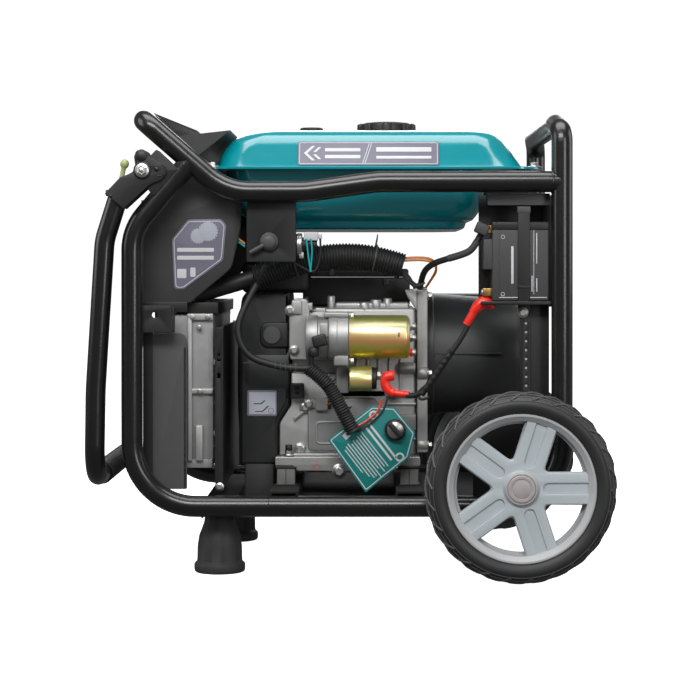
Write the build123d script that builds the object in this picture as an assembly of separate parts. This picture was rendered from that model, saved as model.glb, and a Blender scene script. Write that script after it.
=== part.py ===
from build123d import *
import math
import os

# Portable open-frame inverter generator.  Millimetres, +Z up, origin on the floor under
# the middle of the machine.  +X points to the wheel end, -Y to the service side.

# ---- driving dimensions -------------------------------------------------
TUBE_R = 16.0            # frame tube radius
FRAME_Y = 235.0          # side frame centreline, each side of the middle
LEFT_X = -322.5          # upright at the panel end
RIGHT_X = 322.5          # upright at the wheel end
BASE_Z = 106.0           # bottom tube centreline
BEND_R = 95.0            # side frame corner bends
LOOP_TOP_Z = 682.0       # centreline of the end loop's cross bar
RAIL_Z = 593.0           # top rail at the wheel end
RAIL_LOW_Z = 578.0       # top rail at the panel end
BAR_X, BAR_Z = -306.0, 686.0     # panel end cross bar

AXLE_X, AXLE_Z, AXLE_R = 255.0, 142.0, 10.0
WHEEL_R, WHEEL_W, WHEEL_Y = 142.0, 62.0, 303.0
RIM_R = 110.0
RUN_FIT = 0.05           # radial clearance of turning fits
GAP = 0.3                # clearance between faces that slide past each other

PIVOT_X, PIVOT_Z = -305.0, 609.0
HANDLE_R = 15.0

FOOT_X, FOOT_Y, FOOT_H = -195.0, 178.0, 88.0

CRANK_Z = 310.0
JOURNAL_R = 17.5
DUCT_Z = 325.0           # alternator duct centreline
SHROUD_Z, SHROUD_R = 296.0, 132.0

STARTER_Y, STARTER_Z, STARTER_R = -164.0, 357.0, 33.0
PORT = (160.0, 300.0)    # exhaust port of the cylinder, Y and Z
OUTLET, OUTLET_R = (155.0, 330.0), 11.0     # tail pipe bore, Y and Z
CAP_X, CAP_Y = 61.0, -30.0
DIP_X, DIP_Z = 73.0, 217.0
VALVE_X, VALVE_Z = -117.5, 503.0

SIDES = (-1, 1)


# ---- helpers ------------------------------------------------------------
def block(x0, x1, y0, y1, z0, z1):
    """Box between two corners."""
    centre = ((x0 + x1) / 2, (y0 + y1) / 2, (z0 + z1) / 2)
    return Pos(*centre) * Box(x1 - x0, y1 - y0, z1 - z0)


def rod(start, end, radius):
    """Straight round bar from one point to another."""
    a, b = Vector(*start), Vector(*end)
    plane = Plane(origin=a, z_dir=b - a)
    return extrude(plane * Circle(radius), amount=(b - a).length)


def rod_y(x, z, radius, y0, y1):
    return rod((x, y0, z), (x, y1, z), radius)


def rod_x(y, z, radius, x0, x1):
    return rod((x0, y, z), (x1, y, z), radius)


def rod_z(x, y, radius, z0, z1):
    return rod((x, y, z0), (x, y, z1), radius)


def prism_y(points, y0, y1):
    """Outline in X and Z, extruded along Y."""
    plane = Plane(origin=(0, y1, 0), x_dir=(1, 0, 0), z_dir=(0, -1, 0))
    return extrude(plane * make_face(Polyline(*points, close=True)), amount=y1 - y0)


def bent_tube(points, radii, radius):
    """Round tube along straight runs joined by tangent arcs."""
    path = FilletPolyline(*points, radius=radii)
    section = Plane(origin=path @ 0, z_dir=path % 0) * Circle(radius)
    return sweep(section, path=path)


def cord(points, radius):
    """Cable whose bends are as large as its runs allow."""
    radii = []
    for before, here, after in zip(points, points[1:], points[2:]):
        run_in = Vector(*here) - Vector(*before)
        run_out = Vector(*after) - Vector(*here)
        half_turn = math.radians(run_in.get_angle(run_out)) / 2
        radii.append(0.45 * min(run_in.length, run_out.length) / math.tan(half_turn))
    print("cord radii", [round(value, 1) for value in radii])
    return bent_tube(points, radii, radius)


def biggest(shape):
    """The main solid left after a cut, without its offcuts."""
    return max(shape.solids(), key=lambda solid: solid.volume)


def hex_bolt_z(x, y, flat_r, z_seat, length):
    """Flange bolt head that stands up on a level face."""
    washer = rod_z(x, y, flat_r * 1.45, z_seat, z_seat + 2)
    head = extrude(Plane(origin=(x, y, z_seat)) * RegularPolygon(flat_r, 6), amount=length)
    return washer + head


def save(name, *solids):
    solids = [s for shape in solids for s in shape.solids()]
    shape = solids[0] if len(solids) == 1 else Compound(children=solids)
    export_step(shape, f"parts/{name}.step")


os.makedirs("parts", exist_ok=True)


# ---- tube frame ---------------------------------------------------------
def main_loop(side):
    """Side frame: short slanted top, upright, floor rail and the wheel end upright."""
    y = side * FRAME_Y
    points = [(-233, y, 626.3), (LEFT_X, y, 520), (LEFT_X, y, BASE_Z),
              (RIGHT_X, y, BASE_Z), (RIGHT_X, y, 632)]
    return bent_tube(points, [80, BEND_R, BEND_R], TUBE_R)


def end_loop():
    """Inverted U over the wheel end, butt welded onto the two uprights."""
    points = [(RIGHT_X, -FRAME_Y, 632), (RIGHT_X, -FRAME_Y, LOOP_TOP_Z - 14),
              (RIGHT_X - 6, -FRAME_Y + 40, LOOP_TOP_Z),
              (RIGHT_X - 6, FRAME_Y - 40, LOOP_TOP_Z),
              (RIGHT_X, FRAME_Y, LOOP_TOP_Z - 14), (RIGHT_X, FRAME_Y, 632)]
    return bent_tube(points, [22, 26, 26, 22], TUBE_R)


def top_rail(side):
    """Rail under the tank flange that dips and then climbs to the panel end."""
    y = side * FRAME_Y
    points = [(RIGHT_X, y, RAIL_Z), (46, y, RAIL_Z), (-62, y, RAIL_LOW_Z),
              (-182, y, RAIL_LOW_Z), (-286, y, 668.5)]
    return bent_tube(points, [160, 160, 95], TUBE_R)


def panel_crossbar():
    """Cross bar at the panel end with the two corner bends that meet the rails."""
    points = [(-286, -FRAME_Y, 668.5), (BAR_X, -FRAME_Y, BAR_Z),
              (BAR_X, FRAME_Y, BAR_Z), (-286, FRAME_Y, 668.5)]
    return bent_tube(points, [22, 22], TUBE_R)


def coped_rail(side):
    """Top rail with its wheel end shaped to the upright that it is welded to."""
    upright = rod_z(RIGHT_X, side * FRAME_Y, TUBE_R, 500, 640)
    return biggest(top_rail(side) - upright)


rails = {side: coped_rail(side) for side in SIDES}
loops = {side: biggest(main_loop(side) - rails[side]) for side in SIDES}
save("side_frame_near", loops[-1])
save("side_frame_far", loops[1])
save("top_rails", rails[-1], rails[1])
save("end_loop", end_loop())
save("panel_crossbar", biggest(panel_crossbar() - rails[-1] - rails[1]))


# ---- cross members, axle and running gear -------------------------------
def channel(x0, x1, z0, z1):
    """Folded channel across the frame, open below, coped against the floor rails."""
    shape = block(x0, x1, -FRAME_Y, FRAME_Y, z0, z1)
    shape -= block(x0 + 3, x1 - 3, -FRAME_Y, FRAME_Y, z0 - 1, z1 - 3)
    for side in SIDES:
        shape -= rod_x(side * FRAME_Y, BASE_Z, TUBE_R, x0 - 5, x1 + 5)
        shape -= block(x0, x1, side * (FRAME_Y + 10) - 12, side * (FRAME_Y + 10) + 12, z0, z1)
    return biggest(shape)


def axle_plate(side):
    """Plate on the inside of the floor rail that carries the axle."""
    y_face = side * (FRAME_Y - TUBE_R)
    y0, y1 = sorted((y_face, y_face - side * 6))
    plate = block(226, 284, y0, y1, 88, 166) + block(190, 300, y0, y1, 112, 232)
    return plate - rod_y(AXLE_X, AXLE_Z, AXLE_R, y0 - 1, y1 + 1)


floor_tray = block(-95, 296, -212.5, 212.5, 108, 111)
save("cross_members", channel(-116, -74, 98, 128) + channel(74, 116, 98, 128) + floor_tray,
     channel(FOOT_X - 24, FOOT_X + 24, FOOT_H, 108), axle_plate(-1), axle_plate(1))


def axle():
    """Through axle with a collar inside each wheel."""
    shape = rod_y(AXLE_X, AXLE_Z, AXLE_R, -331, 331)
    for side in SIDES:
        y0, y1 = sorted((side * 256, side * (WHEEL_Y - WHEEL_W / 2 + 1 - GAP)))
        shape += rod_y(AXLE_X, AXLE_Z, 15, y0, y1)
    return shape


save("axle", axle())


def tyre(y):
    """Solid tyre with rounded shoulders."""
    half = WHEEL_W / 2
    body = rod_y(AXLE_X, AXLE_Z, WHEEL_R, y - half, y + half)
    body = fillet(body.edges().filter_by(GeomType.CIRCLE), 15)
    return body - rod_y(AXLE_X, AXLE_Z, RIM_R, y - half - 1, y + half + 1)


def rim(side):
    """Moulded rim: outer ring, hub and five spokes, closed by the hub cap."""
    y = side * WHEEL_Y
    ring = rod_y(AXLE_X, AXLE_Z, RIM_R, y - 27, y + 27)
    ring -= rod_y(AXLE_X, AXLE_Z, RIM_R - 11, y - 28, y + 28)
    spoke_y0, spoke_y1 = sorted((side * (WHEEL_Y + 2), side * (WHEEL_Y + 20)))
    shape = ring
    for index in range(5):
        spoke = Pos(RIM_R / 2, 0, 0) * Box(RIM_R - 12, spoke_y1 - spoke_y0, 42)
        turn = Rot(0, -72 * index, 0)
        shape += Pos(AXLE_X, (spoke_y0 + spoke_y1) / 2, AXLE_Z) * turn * spoke
    hub_in, hub_out = side * (WHEEL_Y - WHEEL_W / 2 + 1), side * (WHEEL_Y + 34)
    y0, y1 = sorted((hub_in, hub_out))
    shape += rod_y(AXLE_X, AXLE_Z, 27, y0, y1)
    b0, b1 = sorted((side * 260, side * 332))
    return shape - rod_y(AXLE_X, AXLE_Z, AXLE_R + RUN_FIT, b0, b1)


for side, name in ((-1, "near"), (1, "far")):
    save(f"tyre_{name}", tyre(side * WHEEL_Y))
    save(f"wheel_rim_{name}", rim(side))


def rubber_foot(y):
    """Bell shaped rubber foot with a base ring."""
    profile = make_face(Polyline((0, 0), (37, 0), (39, 3), (39, 14), (36, 17), (33, 55),
                                 (25, 80), (18, FOOT_H), (0, FOOT_H), close=True))
    plane = Plane(origin=(FOOT_X, y, 0), x_dir=(1, 0, 0), z_dir=(0, -1, 0))
    return revolve(plane * profile, axis=Axis((FOOT_X, y, 0), (0, 0, 1)))


save("rubber_feet", rubber_foot(-FOOT_Y), rubber_foot(FOOT_Y))


# ---- folding handle -----------------------------------------------------
BRACKET_IN, BRACKET_OUT = 17.0, 21.0     # moving bracket cheeks, from the frame plane
FIXED_IN, FIXED_OUT = 12.0, 16.0         # fixed cheeks
PIN_TOP = (-333.5, 620.0)                # centre of the release knob, X and Z
PIN_FOOT = (-340.0, 590.0)               # lower end of its stem
GRIP_X, GRIP_Z, GRIP_R = -379.0, 148.0, 18.0


def cheek_pair(side, outline, inner, outer, circles):
    """Two parallel plates, one each side of the frame plane."""
    plates = []
    for flank in SIDES:
        y_a = side * FRAME_Y + flank * inner
        y_b = side * FRAME_Y + flank * outer
        y0, y1 = sorted((y_a, y_b))
        plate = prism_y(outline, y0, y1)
        for x, z, radius in circles:
            plate += rod_y(x, z, radius, y0, y1)
        plates.append(plate - rod_y(PIVOT_X, PIVOT_Z, 5 + RUN_FIT, y0 - 1, y1 + 1))
    return plates


def moving_bracket(side):
    """Folded bracket with a stop lobe and a latch lobe, welded to the handle leg."""
    outline = [(-361, 574), (-333, 552), (-300, 586), (-288, 600), (-290, 622),
               (-322, 636), (-328, 612), (-338, 600)]
    lobes = [(PIVOT_X, PIVOT_Z, 19), (-306, 630, 15), (-285, 609, 12)]
    plates = cheek_pair(side, outline, BRACKET_IN, BRACKET_OUT, lobes)
    y = side * FRAME_Y
    web = prism_y([(-361, 574), (-338, 600), (-335, 597.3), (-358, 571.3)],
                  y - BRACKET_IN, y + BRACKET_IN)
    pin_end = (2 * PIN_FOOT[0] - PIN_TOP[0], y, 2 * PIN_FOOT[1] - PIN_TOP[1])
    return plates[0] + plates[1] + web - rod((PIN_TOP[0], y, PIN_TOP[1]), pin_end, 2.8)


def fixed_bracket(side):
    """Two welded plates between the rail and the upright, and their latch stop pin."""
    outline = [(-322, 586), (-284, 641), (-240, 605), (-288, 560)]
    y = side * FRAME_Y
    trim = [rails[side], loops[side]]
    solids = []
    for plate in cheek_pair(side, outline, FIXED_IN, FIXED_OUT, []):
        for tube in trim:
            plate -= tube
        solids.append(biggest(plate))
    solids.append(block(-262, -250, y - 12, y + 12, 598, 604) - rails[side] - loops[side])
    return solids


def handle_tube():
    """U shaped carrying handle that hangs outside the panel end."""
    half = [(-339, -FRAME_Y, 583), (-363.5, -FRAME_Y, 505), (-377, -FRAME_Y, 280),
            (GRIP_X, -FRAME_Y, GRIP_Z)]
    points = half + [(x, -y, z) for x, y, z in reversed(half)]
    return bent_tube(points, [90, 500, 50, 50, 500, 90], HANDLE_R)


def handle_grip():
    """Rubber sleeve on the handle's cross bar."""
    return rod_y(GRIP_X, GRIP_Z, GRIP_R, -150, 150) - rod_y(GRIP_X, GRIP_Z, HANDLE_R, -151, 151)


def pivot_bolt(side):
    y = side * FRAME_Y
    y_head = y + side * (BRACKET_OUT + 0.5)
    shaft = rod_y(PIVOT_X, PIVOT_Z, 5, y - 26, y + 26)
    h0, h1 = sorted((y_head, y_head + side * 7))
    w0, w1 = sorted((y_head, y_head + side * 2))
    n0, n1 = sorted((y - side * (BRACKET_OUT + 0.5), y - side * (BRACKET_OUT + 7)))
    head = rod_y(PIVOT_X, PIVOT_Z, 9, h0, h1) + rod_y(PIVOT_X, PIVOT_Z, 13, w0, w1)
    return shaft + head + rod_y(PIVOT_X, PIVOT_Z, 9, n0, n1)


def release_pin(side):
    """Spring plunger with a ball knob that locks the handle."""
    y = side * FRAME_Y
    stem = rod((PIN_TOP[0], y, PIN_TOP[1]), (PIN_FOOT[0], y, PIN_FOOT[1]), 2.5)
    return stem + Pos(PIN_TOP[0], y, PIN_TOP[1]) * Sphere(6.5)


save("handle_brackets", moving_bracket(-1), moving_bracket(1))
save("fixed_brackets", *fixed_bracket(-1), *fixed_bracket(1))
save("handle_tube", biggest(handle_tube() - moving_bracket(-1) - moving_bracket(1)))
save("handle_grip", handle_grip())
save("pivot_bolts", pivot_bolt(-1), pivot_bolt(1))
save("release_pins", release_pin(-1), release_pin(1))


# ---- control panel end --------------------------------------------------
COVER_OUTLINE = [(-312, 409), (-312, 524), (-262, 590), (-236, 606), (-200, 600),
                 (-159, 580), (-163, 521), (-176, 463), (-240, 410)]


def control_housing():
    """Sheet housing behind the control panel, open towards the panel."""
    outer = [(-294, 412), (-294, 498), (-250, 561), (-260, 640), (-268, 664),
             (-179, 674), (-230, 634), (-209, 600), (-205, 520), (-240, 412)]
    inner = [(-295, 415), (-295, 497), (-247, 559), (-247, 598), (-212, 598),
             (-208, 521), (-242, 415)]
    return prism_y(outer, -180, 180) - prism_y(inner, -177, 177)


SOCKET_Y = (-100, -30)
SOCKET_Z = 456.0
SLOPE_LOW, SLOPE_HIGH = (-297.0, 498.8), (-252.3, 562.5)     # sloping panel, X and Z
SLOPE_LENGTH = math.dist(SLOPE_LOW, SLOPE_HIGH)
SLOPE_UP = ((SLOPE_HIGH[0] - SLOPE_LOW[0]) / SLOPE_LENGTH,
            (SLOPE_HIGH[1] - SLOPE_LOW[1]) / SLOPE_LENGTH)
BREAKER_Y, SWITCH_Y, DISPLAY_Y = -60.0, 20.0, 95.0
BUTTON_TRAVEL = 3.0


def slope_point(y, out):
    """Point on the middle line of the sloping panel, moved out along its normal."""
    x = (SLOPE_LOW[0] + SLOPE_HIGH[0]) / 2 - SLOPE_UP[1] * out
    z = (SLOPE_LOW[1] + SLOPE_HIGH[1]) / 2 + SLOPE_UP[0] * out
    return (x, y, z)


def panel_face():
    """Front panel: upright lower part and a sloping upper part."""
    strip = [(-297, 413), SLOPE_LOW, SLOPE_HIGH, (-250, 561), (-294, 498), (-294, 413)]
    plate = prism_y(strip, -180, 180)
    for y in SOCKET_Y:
        plate -= rod_x(y, SOCKET_Z, 24, -300, -290)
    return plate - rod(slope_point(BREAKER_Y, -8), slope_point(BREAKER_Y, 4), 7.4)


def hood():
    """Rain hood over the panel, from the cross bar back to the housing, with side walls."""
    shape = prism_y([(-300, 703), (-232, 675.5), (-228, 671), (-233, 671), (-296, 699)],
                    -152, 152)
    wall = [(-289.5, 697), (-232, 673), (-226, 669.6), (-268, 664.8), (-285, 678)]
    return shape + prism_y(wall, -152, -149) + prism_y(wall, 149, 152)


def socket_outlet(y):
    """Panel mounted outlet with a recessed face and two pin holes."""
    body = rod_x(y, SOCKET_Z, 24, -301, -272)
    body -= rod_x(y, SOCKET_Z, 19, -302, -288)
    for offset in (-9.5, 9.5):
        body -= rod_x(y + offset, SOCKET_Z, 2.4, -290, -276)
    return body


def socket_lid(y):
    """Sprung lid over an outlet, hinged at its top."""
    lid = rod_x(y, SOCKET_Z, 25, -304.5, -301.3)
    knuckle = rod((-303, y - 9, SOCKET_Z + 28), (-303, y + 9, SOCKET_Z + 28), 2.6)
    return lid + knuckle + block(-304.5, -301.6, y - 9, y + 9, SOCKET_Z + 20, SOCKET_Z + 28)


save("control_housing", control_housing())
save("control_panel", panel_face())
save("panel_covers", prism_y(COVER_OUTLINE, -190, -184), prism_y(COVER_OUTLINE, 184, 190),
     block(-285, -250, -184, -180, 430, 480), block(-285, -250, 180, 184, 430, 480), hood())
save("power_sockets", *[socket_outlet(y) for y in SOCKET_Y])
for index, y in enumerate(SOCKET_Y):
    save(f"socket_lid_{index + 1}", socket_lid(y))
save("circuit_breaker", rod(slope_point(BREAKER_Y, 0.5), slope_point(BREAKER_Y, 8), 7))
save("engine_switch", rod(slope_point(SWITCH_Y, GAP), slope_point(SWITCH_Y, 15), 15))
display_plane = Plane(origin=slope_point(DISPLAY_Y, 0), x_dir=(0, 1, 0),
                      z_dir=(-SLOPE_UP[1], 0, SLOPE_UP[0]))
save("display_window", extrude(display_plane * Rectangle(62, 34), amount=2.5))


def inverter_housing():
    """Cast inverter box with cooling fins on its lower face and rear lip."""
    shape = block(-286, -206, -190, 190, 171, 395) - block(-281, -211, -185, 185, 176, 390)
    for index in range(18):
        y = -187 + index * 22
        shape += block(-284, -208, y - 1.5, y + 1.5, 159, 171)
    for z in (207, 315):
        shape += block(-206, -200, -186, 186, z, z + 8)
    return shape


def tab_plate(side):
    """Small plate on the upright with the hole for the transport strap bolt."""
    y = side * 231
    plate = block(-318, -263, y - 1.5, y + 1.5, 366, 406)
    plate -= rod_y(-288.5, 393, 4.5, y - 3, y + 3)
    return biggest(plate - loops[side])


def side_guard(side):
    """Grey sheet guard beside the inverter, its foot and its black corner strip."""
    y0, y1 = sorted((side * 199, side * 202))
    panel = block(-310, -243, y0, y1, 128, 358)
    spacer0, spacer1 = sorted((side * 190, side * 199))
    spacers = [block(-284, -250, spacer0, spacer1, z, z + 12) for z in (190, 330)]
    s0, s1 = sorted((side * 190, side * 206))
    strip = block(-199.9, -188, s0, s1, 122, 373)
    return [panel + spacers[0] + spacers[1], strip]


save("inverter_housing", inverter_housing())
baffle = block(-191.5, -188.5, -189.5, 189.5, 129, 375)
save("side_guards", *side_guard(-1), *side_guard(1), tab_plate(-1), tab_plate(1), baffle)


# ---- fuel tank ----------------------------------------------------------
def rounded_slab(x0, x1, half_y, z, radius):
    plane = Plane(origin=((x0 + x1) / 2, 0, z))
    return plane * RectangleRounded(x1 - x0, 2 * half_y, radius)


def tank_upper():
    """Upper shell with the flange, and the filler opening under the cap."""
    levels = [rounded_slab(-198, 271, 196, 616, 50), rounded_slab(-187, 245, 184, 650, 46),
              rounded_slab(-168, 228, 170, 668, 42), rounded_slab(-130, 190, 140, 677, 34)]
    outer = loft(levels[:2]) + loft(levels[1:3]) + loft(levels[2:])
    inner = loft([rounded_slab(-195, 268, 193, 613, 48), rounded_slab(-184, 242, 181, 648, 44)])
    flange = extrude(rounded_slab(-213, 297, 212, 613, 40), amount=3)
    neck = rod_z(CAP_X, CAP_Y, 30, 655, 684)
    shape = outer + flange + neck - inner
    return shape - rod_z(CAP_X, CAP_Y, 27, 640, 690)


def tank_lower():
    """Lower pan of the tank."""
    pan = loft([rounded_slab(-128, 196, 140, 526, 40), rounded_slab(-184, 210, 176, 560, 50)])
    pan += loft([rounded_slab(-184, 210, 176, 560, 50), rounded_slab(-190, 213, 179, 612.9, 50)])
    core = loft([rounded_slab(-126, 194, 138, 529, 40), rounded_slab(-181, 207, 173, 562, 48)])
    core += loft([rounded_slab(-181, 207, 173, 562, 48), rounded_slab(-187, 210, 176, 613, 48)])
    return pan - core


def fuel_cap():
    """Lobed screw cap with a skirt round the neck."""
    body = rod_z(CAP_X, CAP_Y, 43, 677.6, 694)
    for index in range(8):
        angle = math.radians(45 * index)
        body += rod_z(CAP_X + 36 * math.cos(angle), CAP_Y + 36 * math.sin(angle), 11, 677.6, 693)
    body -= rod_z(CAP_X, CAP_Y, 30 + RUN_FIT, 670, 684.3)
    return body + rod_z(CAP_X, CAP_Y, 18, 694, 697)


save("tank_upper", tank_upper())
save("tank_lower", tank_lower())
save("fuel_cap", fuel_cap())
save("fuel_gauge", rod_z(-57, -95, 18, 677, 683))
TANK_BOLTS = [(x, y) for x in (-206, 285) for y in (-184, 184)]
save("tank_bolts", *[hex_bolt_z(x, y, 6, 616, 8) for x, y in TANK_BOLTS])


# ---- engine and alternator ----------------------------------------------
def crankcase():
    """Cast case with base flange, hollow for the crank, bored at both ends."""
    shape = block(-88, 107.5, -128, 92, 172, 404)
    shape += block(-112, 112, -148, 120, 157, 172)
    shape -= block(-76, 95, -112, 78, 184, 392)
    shape -= rod_x(0, CRANK_Z, JOURNAL_R + RUN_FIT, -100, 120)
    shape -= rod_x(0, SHROUD_Z, SHROUD_R, -113, -90)
    return shape - rod_y(DIP_X, DIP_Z, 9, -130, -100)


def cylinder():
    """Finned barrel and head on the far side of the case."""
    core = block(-46, 46, 92, 176, 256, 346) - rod_y(0, 300, 34, 90, 160)
    for index in range(8):
        y = 98 + index * 9
        fin = block(-58, 58, y, y + 3, 244, 358) - block(-40, 40, y - 1, y + 4, 262, 340)
        core += fin
    return core - rod_x(*PORT, 13, 46, 60)


def crankshaft():
    """Shaft with two webs and a crank pin."""
    shape = rod_x(0, CRANK_Z, JOURNAL_R, -168, -30) + rod_x(0, CRANK_Z, JOURNAL_R, 30, 256)
    for x0 in (-30, 18):
        shape += block(x0, x0 + 12, -24, 24, CRANK_Z - 58, CRANK_Z + 44)
    return shape + rod_x(0, CRANK_Z + 30, 14, -18, 18)


def flywheel():
    """Flywheel with fan blades on its outer face."""
    shape = rod_x(0, CRANK_Z, 104, -118, -98) - rod_x(0, CRANK_Z, JOURNAL_R, -119, -97)
    for index in range(12):
        blade = Pos(-129, 0, 72) * Box(22, 4, 52)
        shape += Pos(0, 0, CRANK_Z) * Rot(30 * index, 0, 0) * blade
    return shape


def fan_shroud():
    """Fan housing round the flywheel with its lower duct and intake ring."""
    shape = rod_x(0, SHROUD_Z, SHROUD_R, -172, -90) + block(-160, -118, -112, 112, 122, 230)
    shape -= rod_x(0, SHROUD_Z, SHROUD_R - 4, -168, -89)
    shape -= block(-156, -122, -108, 108, 126, 226)
    shape -= rod_x(0, SHROUD_Z, 70, -173, -160)
    for index in range(3):
        shape += Pos(-170, 0, SHROUD_Z) * Rot(60 * index, 0, 0) * Box(4, 6, 262)
    return shape - rod_x(0, CRANK_Z, 22, -173, -165)


def flange_plate():
    """Adapter plate between crankcase and alternator."""
    shape = rod_x(0, 301, 128, 108, 124) + block(108, 124, -118, 118, 174, 260)
    return shape - rod_x(0, CRANK_Z, 70, 107, 125)


def alternator_duct():
    """Cooling cover over the alternator, open towards the adapter plate."""
    shape = loft([Plane(origin=(124, 0, DUCT_Z), z_dir=(1, 0, 0)) * Circle(98),
                  Plane(origin=(282, 0, DUCT_Z), z_dir=(1, 0, 0)) * Circle(82)])
    hollow = loft([Plane(origin=(123.9, 0, DUCT_Z), z_dir=(1, 0, 0)) * Circle(94),
                   Plane(origin=(278, 0, DUCT_Z), z_dir=(1, 0, 0)) * Circle(78)])
    shape -= hollow
    for index in range(7):
        shape -= block(277, 283, -50, 50, 279 + index * 14, 285 + index * 14)
    return shape


def stator():
    """Wound ring fixed inside the duct by two pads."""
    shape = rod_x(0, CRANK_Z, 62, 150, 232) - rod_x(0, CRANK_Z, 53.5, 149, 233)
    for side in SIDES:
        y0, y1 = sorted((side * 56, side * 60))
        shape += block(124.1, 150, y0, y1, CRANK_Z - 6, CRANK_Z + 6)
    return shape


def starter_motor():
    """Plated starter motor with its solenoid beside it."""
    motor = rod_x(STARTER_Y, STARTER_Z, STARTER_R, 2, 96)
    motor += rod_x(STARTER_Y, STARTER_Z, STARTER_R - 6, 96, 99)
    solenoid = rod_x(STARTER_Y, 293, 19, 2, 36) + rod_x(STARTER_Y, 293, 14, 36, 44)
    return [motor, solenoid]


def starter_nose():
    """Cast nose and gear case that carry the starter and its solenoid."""
    shape = rod_x(STARTER_Y, STARTER_Z, 36, -44, 2) + block(-62, 2, -170, -128, 318, 396)
    return shape + block(-20, 2, -182, -128, 276, 322)


save("crankcase", crankcase())
save("cylinder", cylinder())
save("valve_cover", block(-44, 44, 176, 206, 258, 344))
save("crankshaft", crankshaft())
save("flywheel", flywheel())
save("rotor", rod_x(0, CRANK_Z, 53, 152, 230) - rod_x(0, CRANK_Z, JOURNAL_R, 151, 231))
save("stator", stator())
save("fan_shroud", fan_shroud())
save("adapter_plate", flange_plate())
save("alternator_cover", alternator_duct())
save("starter_motor", *starter_motor())
save("starter_nose", starter_nose())
save("air_box", block(-72, 98, -64, 64, 404, 462))


def muffler():
    """Exhaust box on the far side with its outlet pipe."""
    box = block(130, 268, 108, 202, 300, 420)
    box = fillet(box.edges().filter_by(Axis.X), 18)
    pipe = rod_x(*OUTLET, 14, 268, 286) - rod_x(*OUTLET, OUTLET_R, 250, 287)
    box = box - rod_x(*OUTLET, OUTLET_R, 262, 290) + pipe
    inlet = bent_tube([(46, *PORT), (92, *PORT), (132, PORT[0], 340)], [30], 13)
    return [box, biggest(inlet - box)]


save("muffler", *muffler())


def dipstick():
    """Oil filler cap with a grip bar and its blade."""
    shape = rod_y(DIP_X, DIP_Z, 9 - 2 * RUN_FIT, -150, -104) + rod_y(DIP_X, DIP_Z, 15, -196, -188)
    shape += rod_y(DIP_X, DIP_Z, 8, -188, -150)
    return shape + Pos(DIP_X, -199, DIP_Z) * Rot(0, 50, 0) * Box(27, 8, 6)


TAG_OUTLINE = [(37, 253), (72, 251), (104, 212), (93.5, 174), (28, 121), (-30, 201.5)]
TAG_Y = -185.0
save("dipstick", dipstick())
save("service_tag", prism_y(TAG_OUTLINE, TAG_Y - 1, TAG_Y) - rod_y(DIP_X, DIP_Z, 8.4, -190, -180))
save("oil_level_unit", block(-88, -68, -140, -128, 262, 285) + block(-68, -34, -136, -128, 243, 262))
MOUNT_XY = [(x, y) for x in (-95, 95) for y in (-140, 105)]
save("rubber_mounts", *[block(x - 14, x + 14, y - 14, y + 14, 128, 157) for x, y in MOUNT_XY])


# ---- battery ------------------------------------------------------------
save("battery", block(218, 303, -232, -170, 414, 534), block(204, 218, -232, -176, 460, 508),
     block(204, 218, -226, -206, 516, 529), block(204, 218, -226, -206, 420, 434))
tray = block(201, 306, -236, -165, 408, 414) + block(201, 306, -170, -166, 414, 575)
tray += block(212, 306, -218, -166, 560, 575)
tray += block(262, 306, -205, -200, 160, 408)
tray += block(266, 276, -208, -205, 262, 385)
strap = block(257, 274, -235, -232, 414, 558) + block(257, 274, -235, -218, 558, 560)
save("battery_tray", tray, strap)


# ---- cables and hoses ---------------------------------------------------
CONDUIT = [(-142, -150, 448), (-108, -151, 462), (-70, -151, 474), (-30, -150, 481),
           (14, -149, 482), (52, -147, 476), (84, -145, 466)]
CONDUIT_INLET = [(-231, -150, 418), (-204, -150, 431), (-176, -151, 440), (-150, -151, 447)]
LOOM_LEAD = [(-138, -178, 440), (-158, -186, 404), (-170, -191, 366), (-152, -192, 330),
             (-112, -192, 319), (-74, -192, 322)]
LOOM = [(-66, -192, 318), (-36, -192, 297), (-14, -194, 268), (0, -196, 238), (12, -196, 210)]
POSITIVE = [(52, -184, 284), (86, -198, 290), (118, -206, 302), (150, -212, 334),
            (176, -215, 364), (190, -216, 390), (195.5, -216, 406), (198, -216, 424)]
NEGATIVE = [(200, -215, 521), (190, -214, 505), (175, -210, 490), (152, -200, 479),
            (128, -184, 469), (114, -162, 450)]
save("harness_conduit", cord(CONDUIT, 20), cord(CONDUIT_INLET, 9))
save("wiring_loom", cord(LOOM_LEAD, 4), cord(LOOM, 9.5))
save("positive_cable", cord(POSITIVE, 4))
save("negative_cable", cord(NEGATIVE, 4))


# ---- fuel valve ---------------------------------------------------------
def valve_bracket():
    """Plate that hangs from the rail and carries the fuel valve."""
    plate = block(-151, -78, -220, -217, 473, 563)
    plate += block(-148, -138, -220, -195, 551, 563)
    return plate - rod_y(VALVE_X, VALVE_Z, 6.05, -221, -216)


def valve_lever():
    """Fuel valve knob with its lever."""
    shape = rod_y(VALVE_X, VALVE_Z, 6, -226, -210) + rod_y(VALVE_X, VALVE_Z, 12, -232, -221)
    return shape + Pos(VALVE_X, -229, VALVE_Z) * Rot(0, 30, 0) * Pos(-14, 0, 0) * Box(30, 5, 9)


def solenoid_valve():
    """Gas shut-off solenoid behind the plate, with its coil and outlet."""
    return rod_x(-190, 499, 17.5, -77.8, -67) + rod_x(-190, 499, 9, -67, -46)


save("valve_bracket", valve_bracket(), solenoid_valve())
save("fuel_valve_lever", valve_lever())
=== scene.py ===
import math

import bmesh
import bpy
from mathutils import Matrix, Vector


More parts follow.
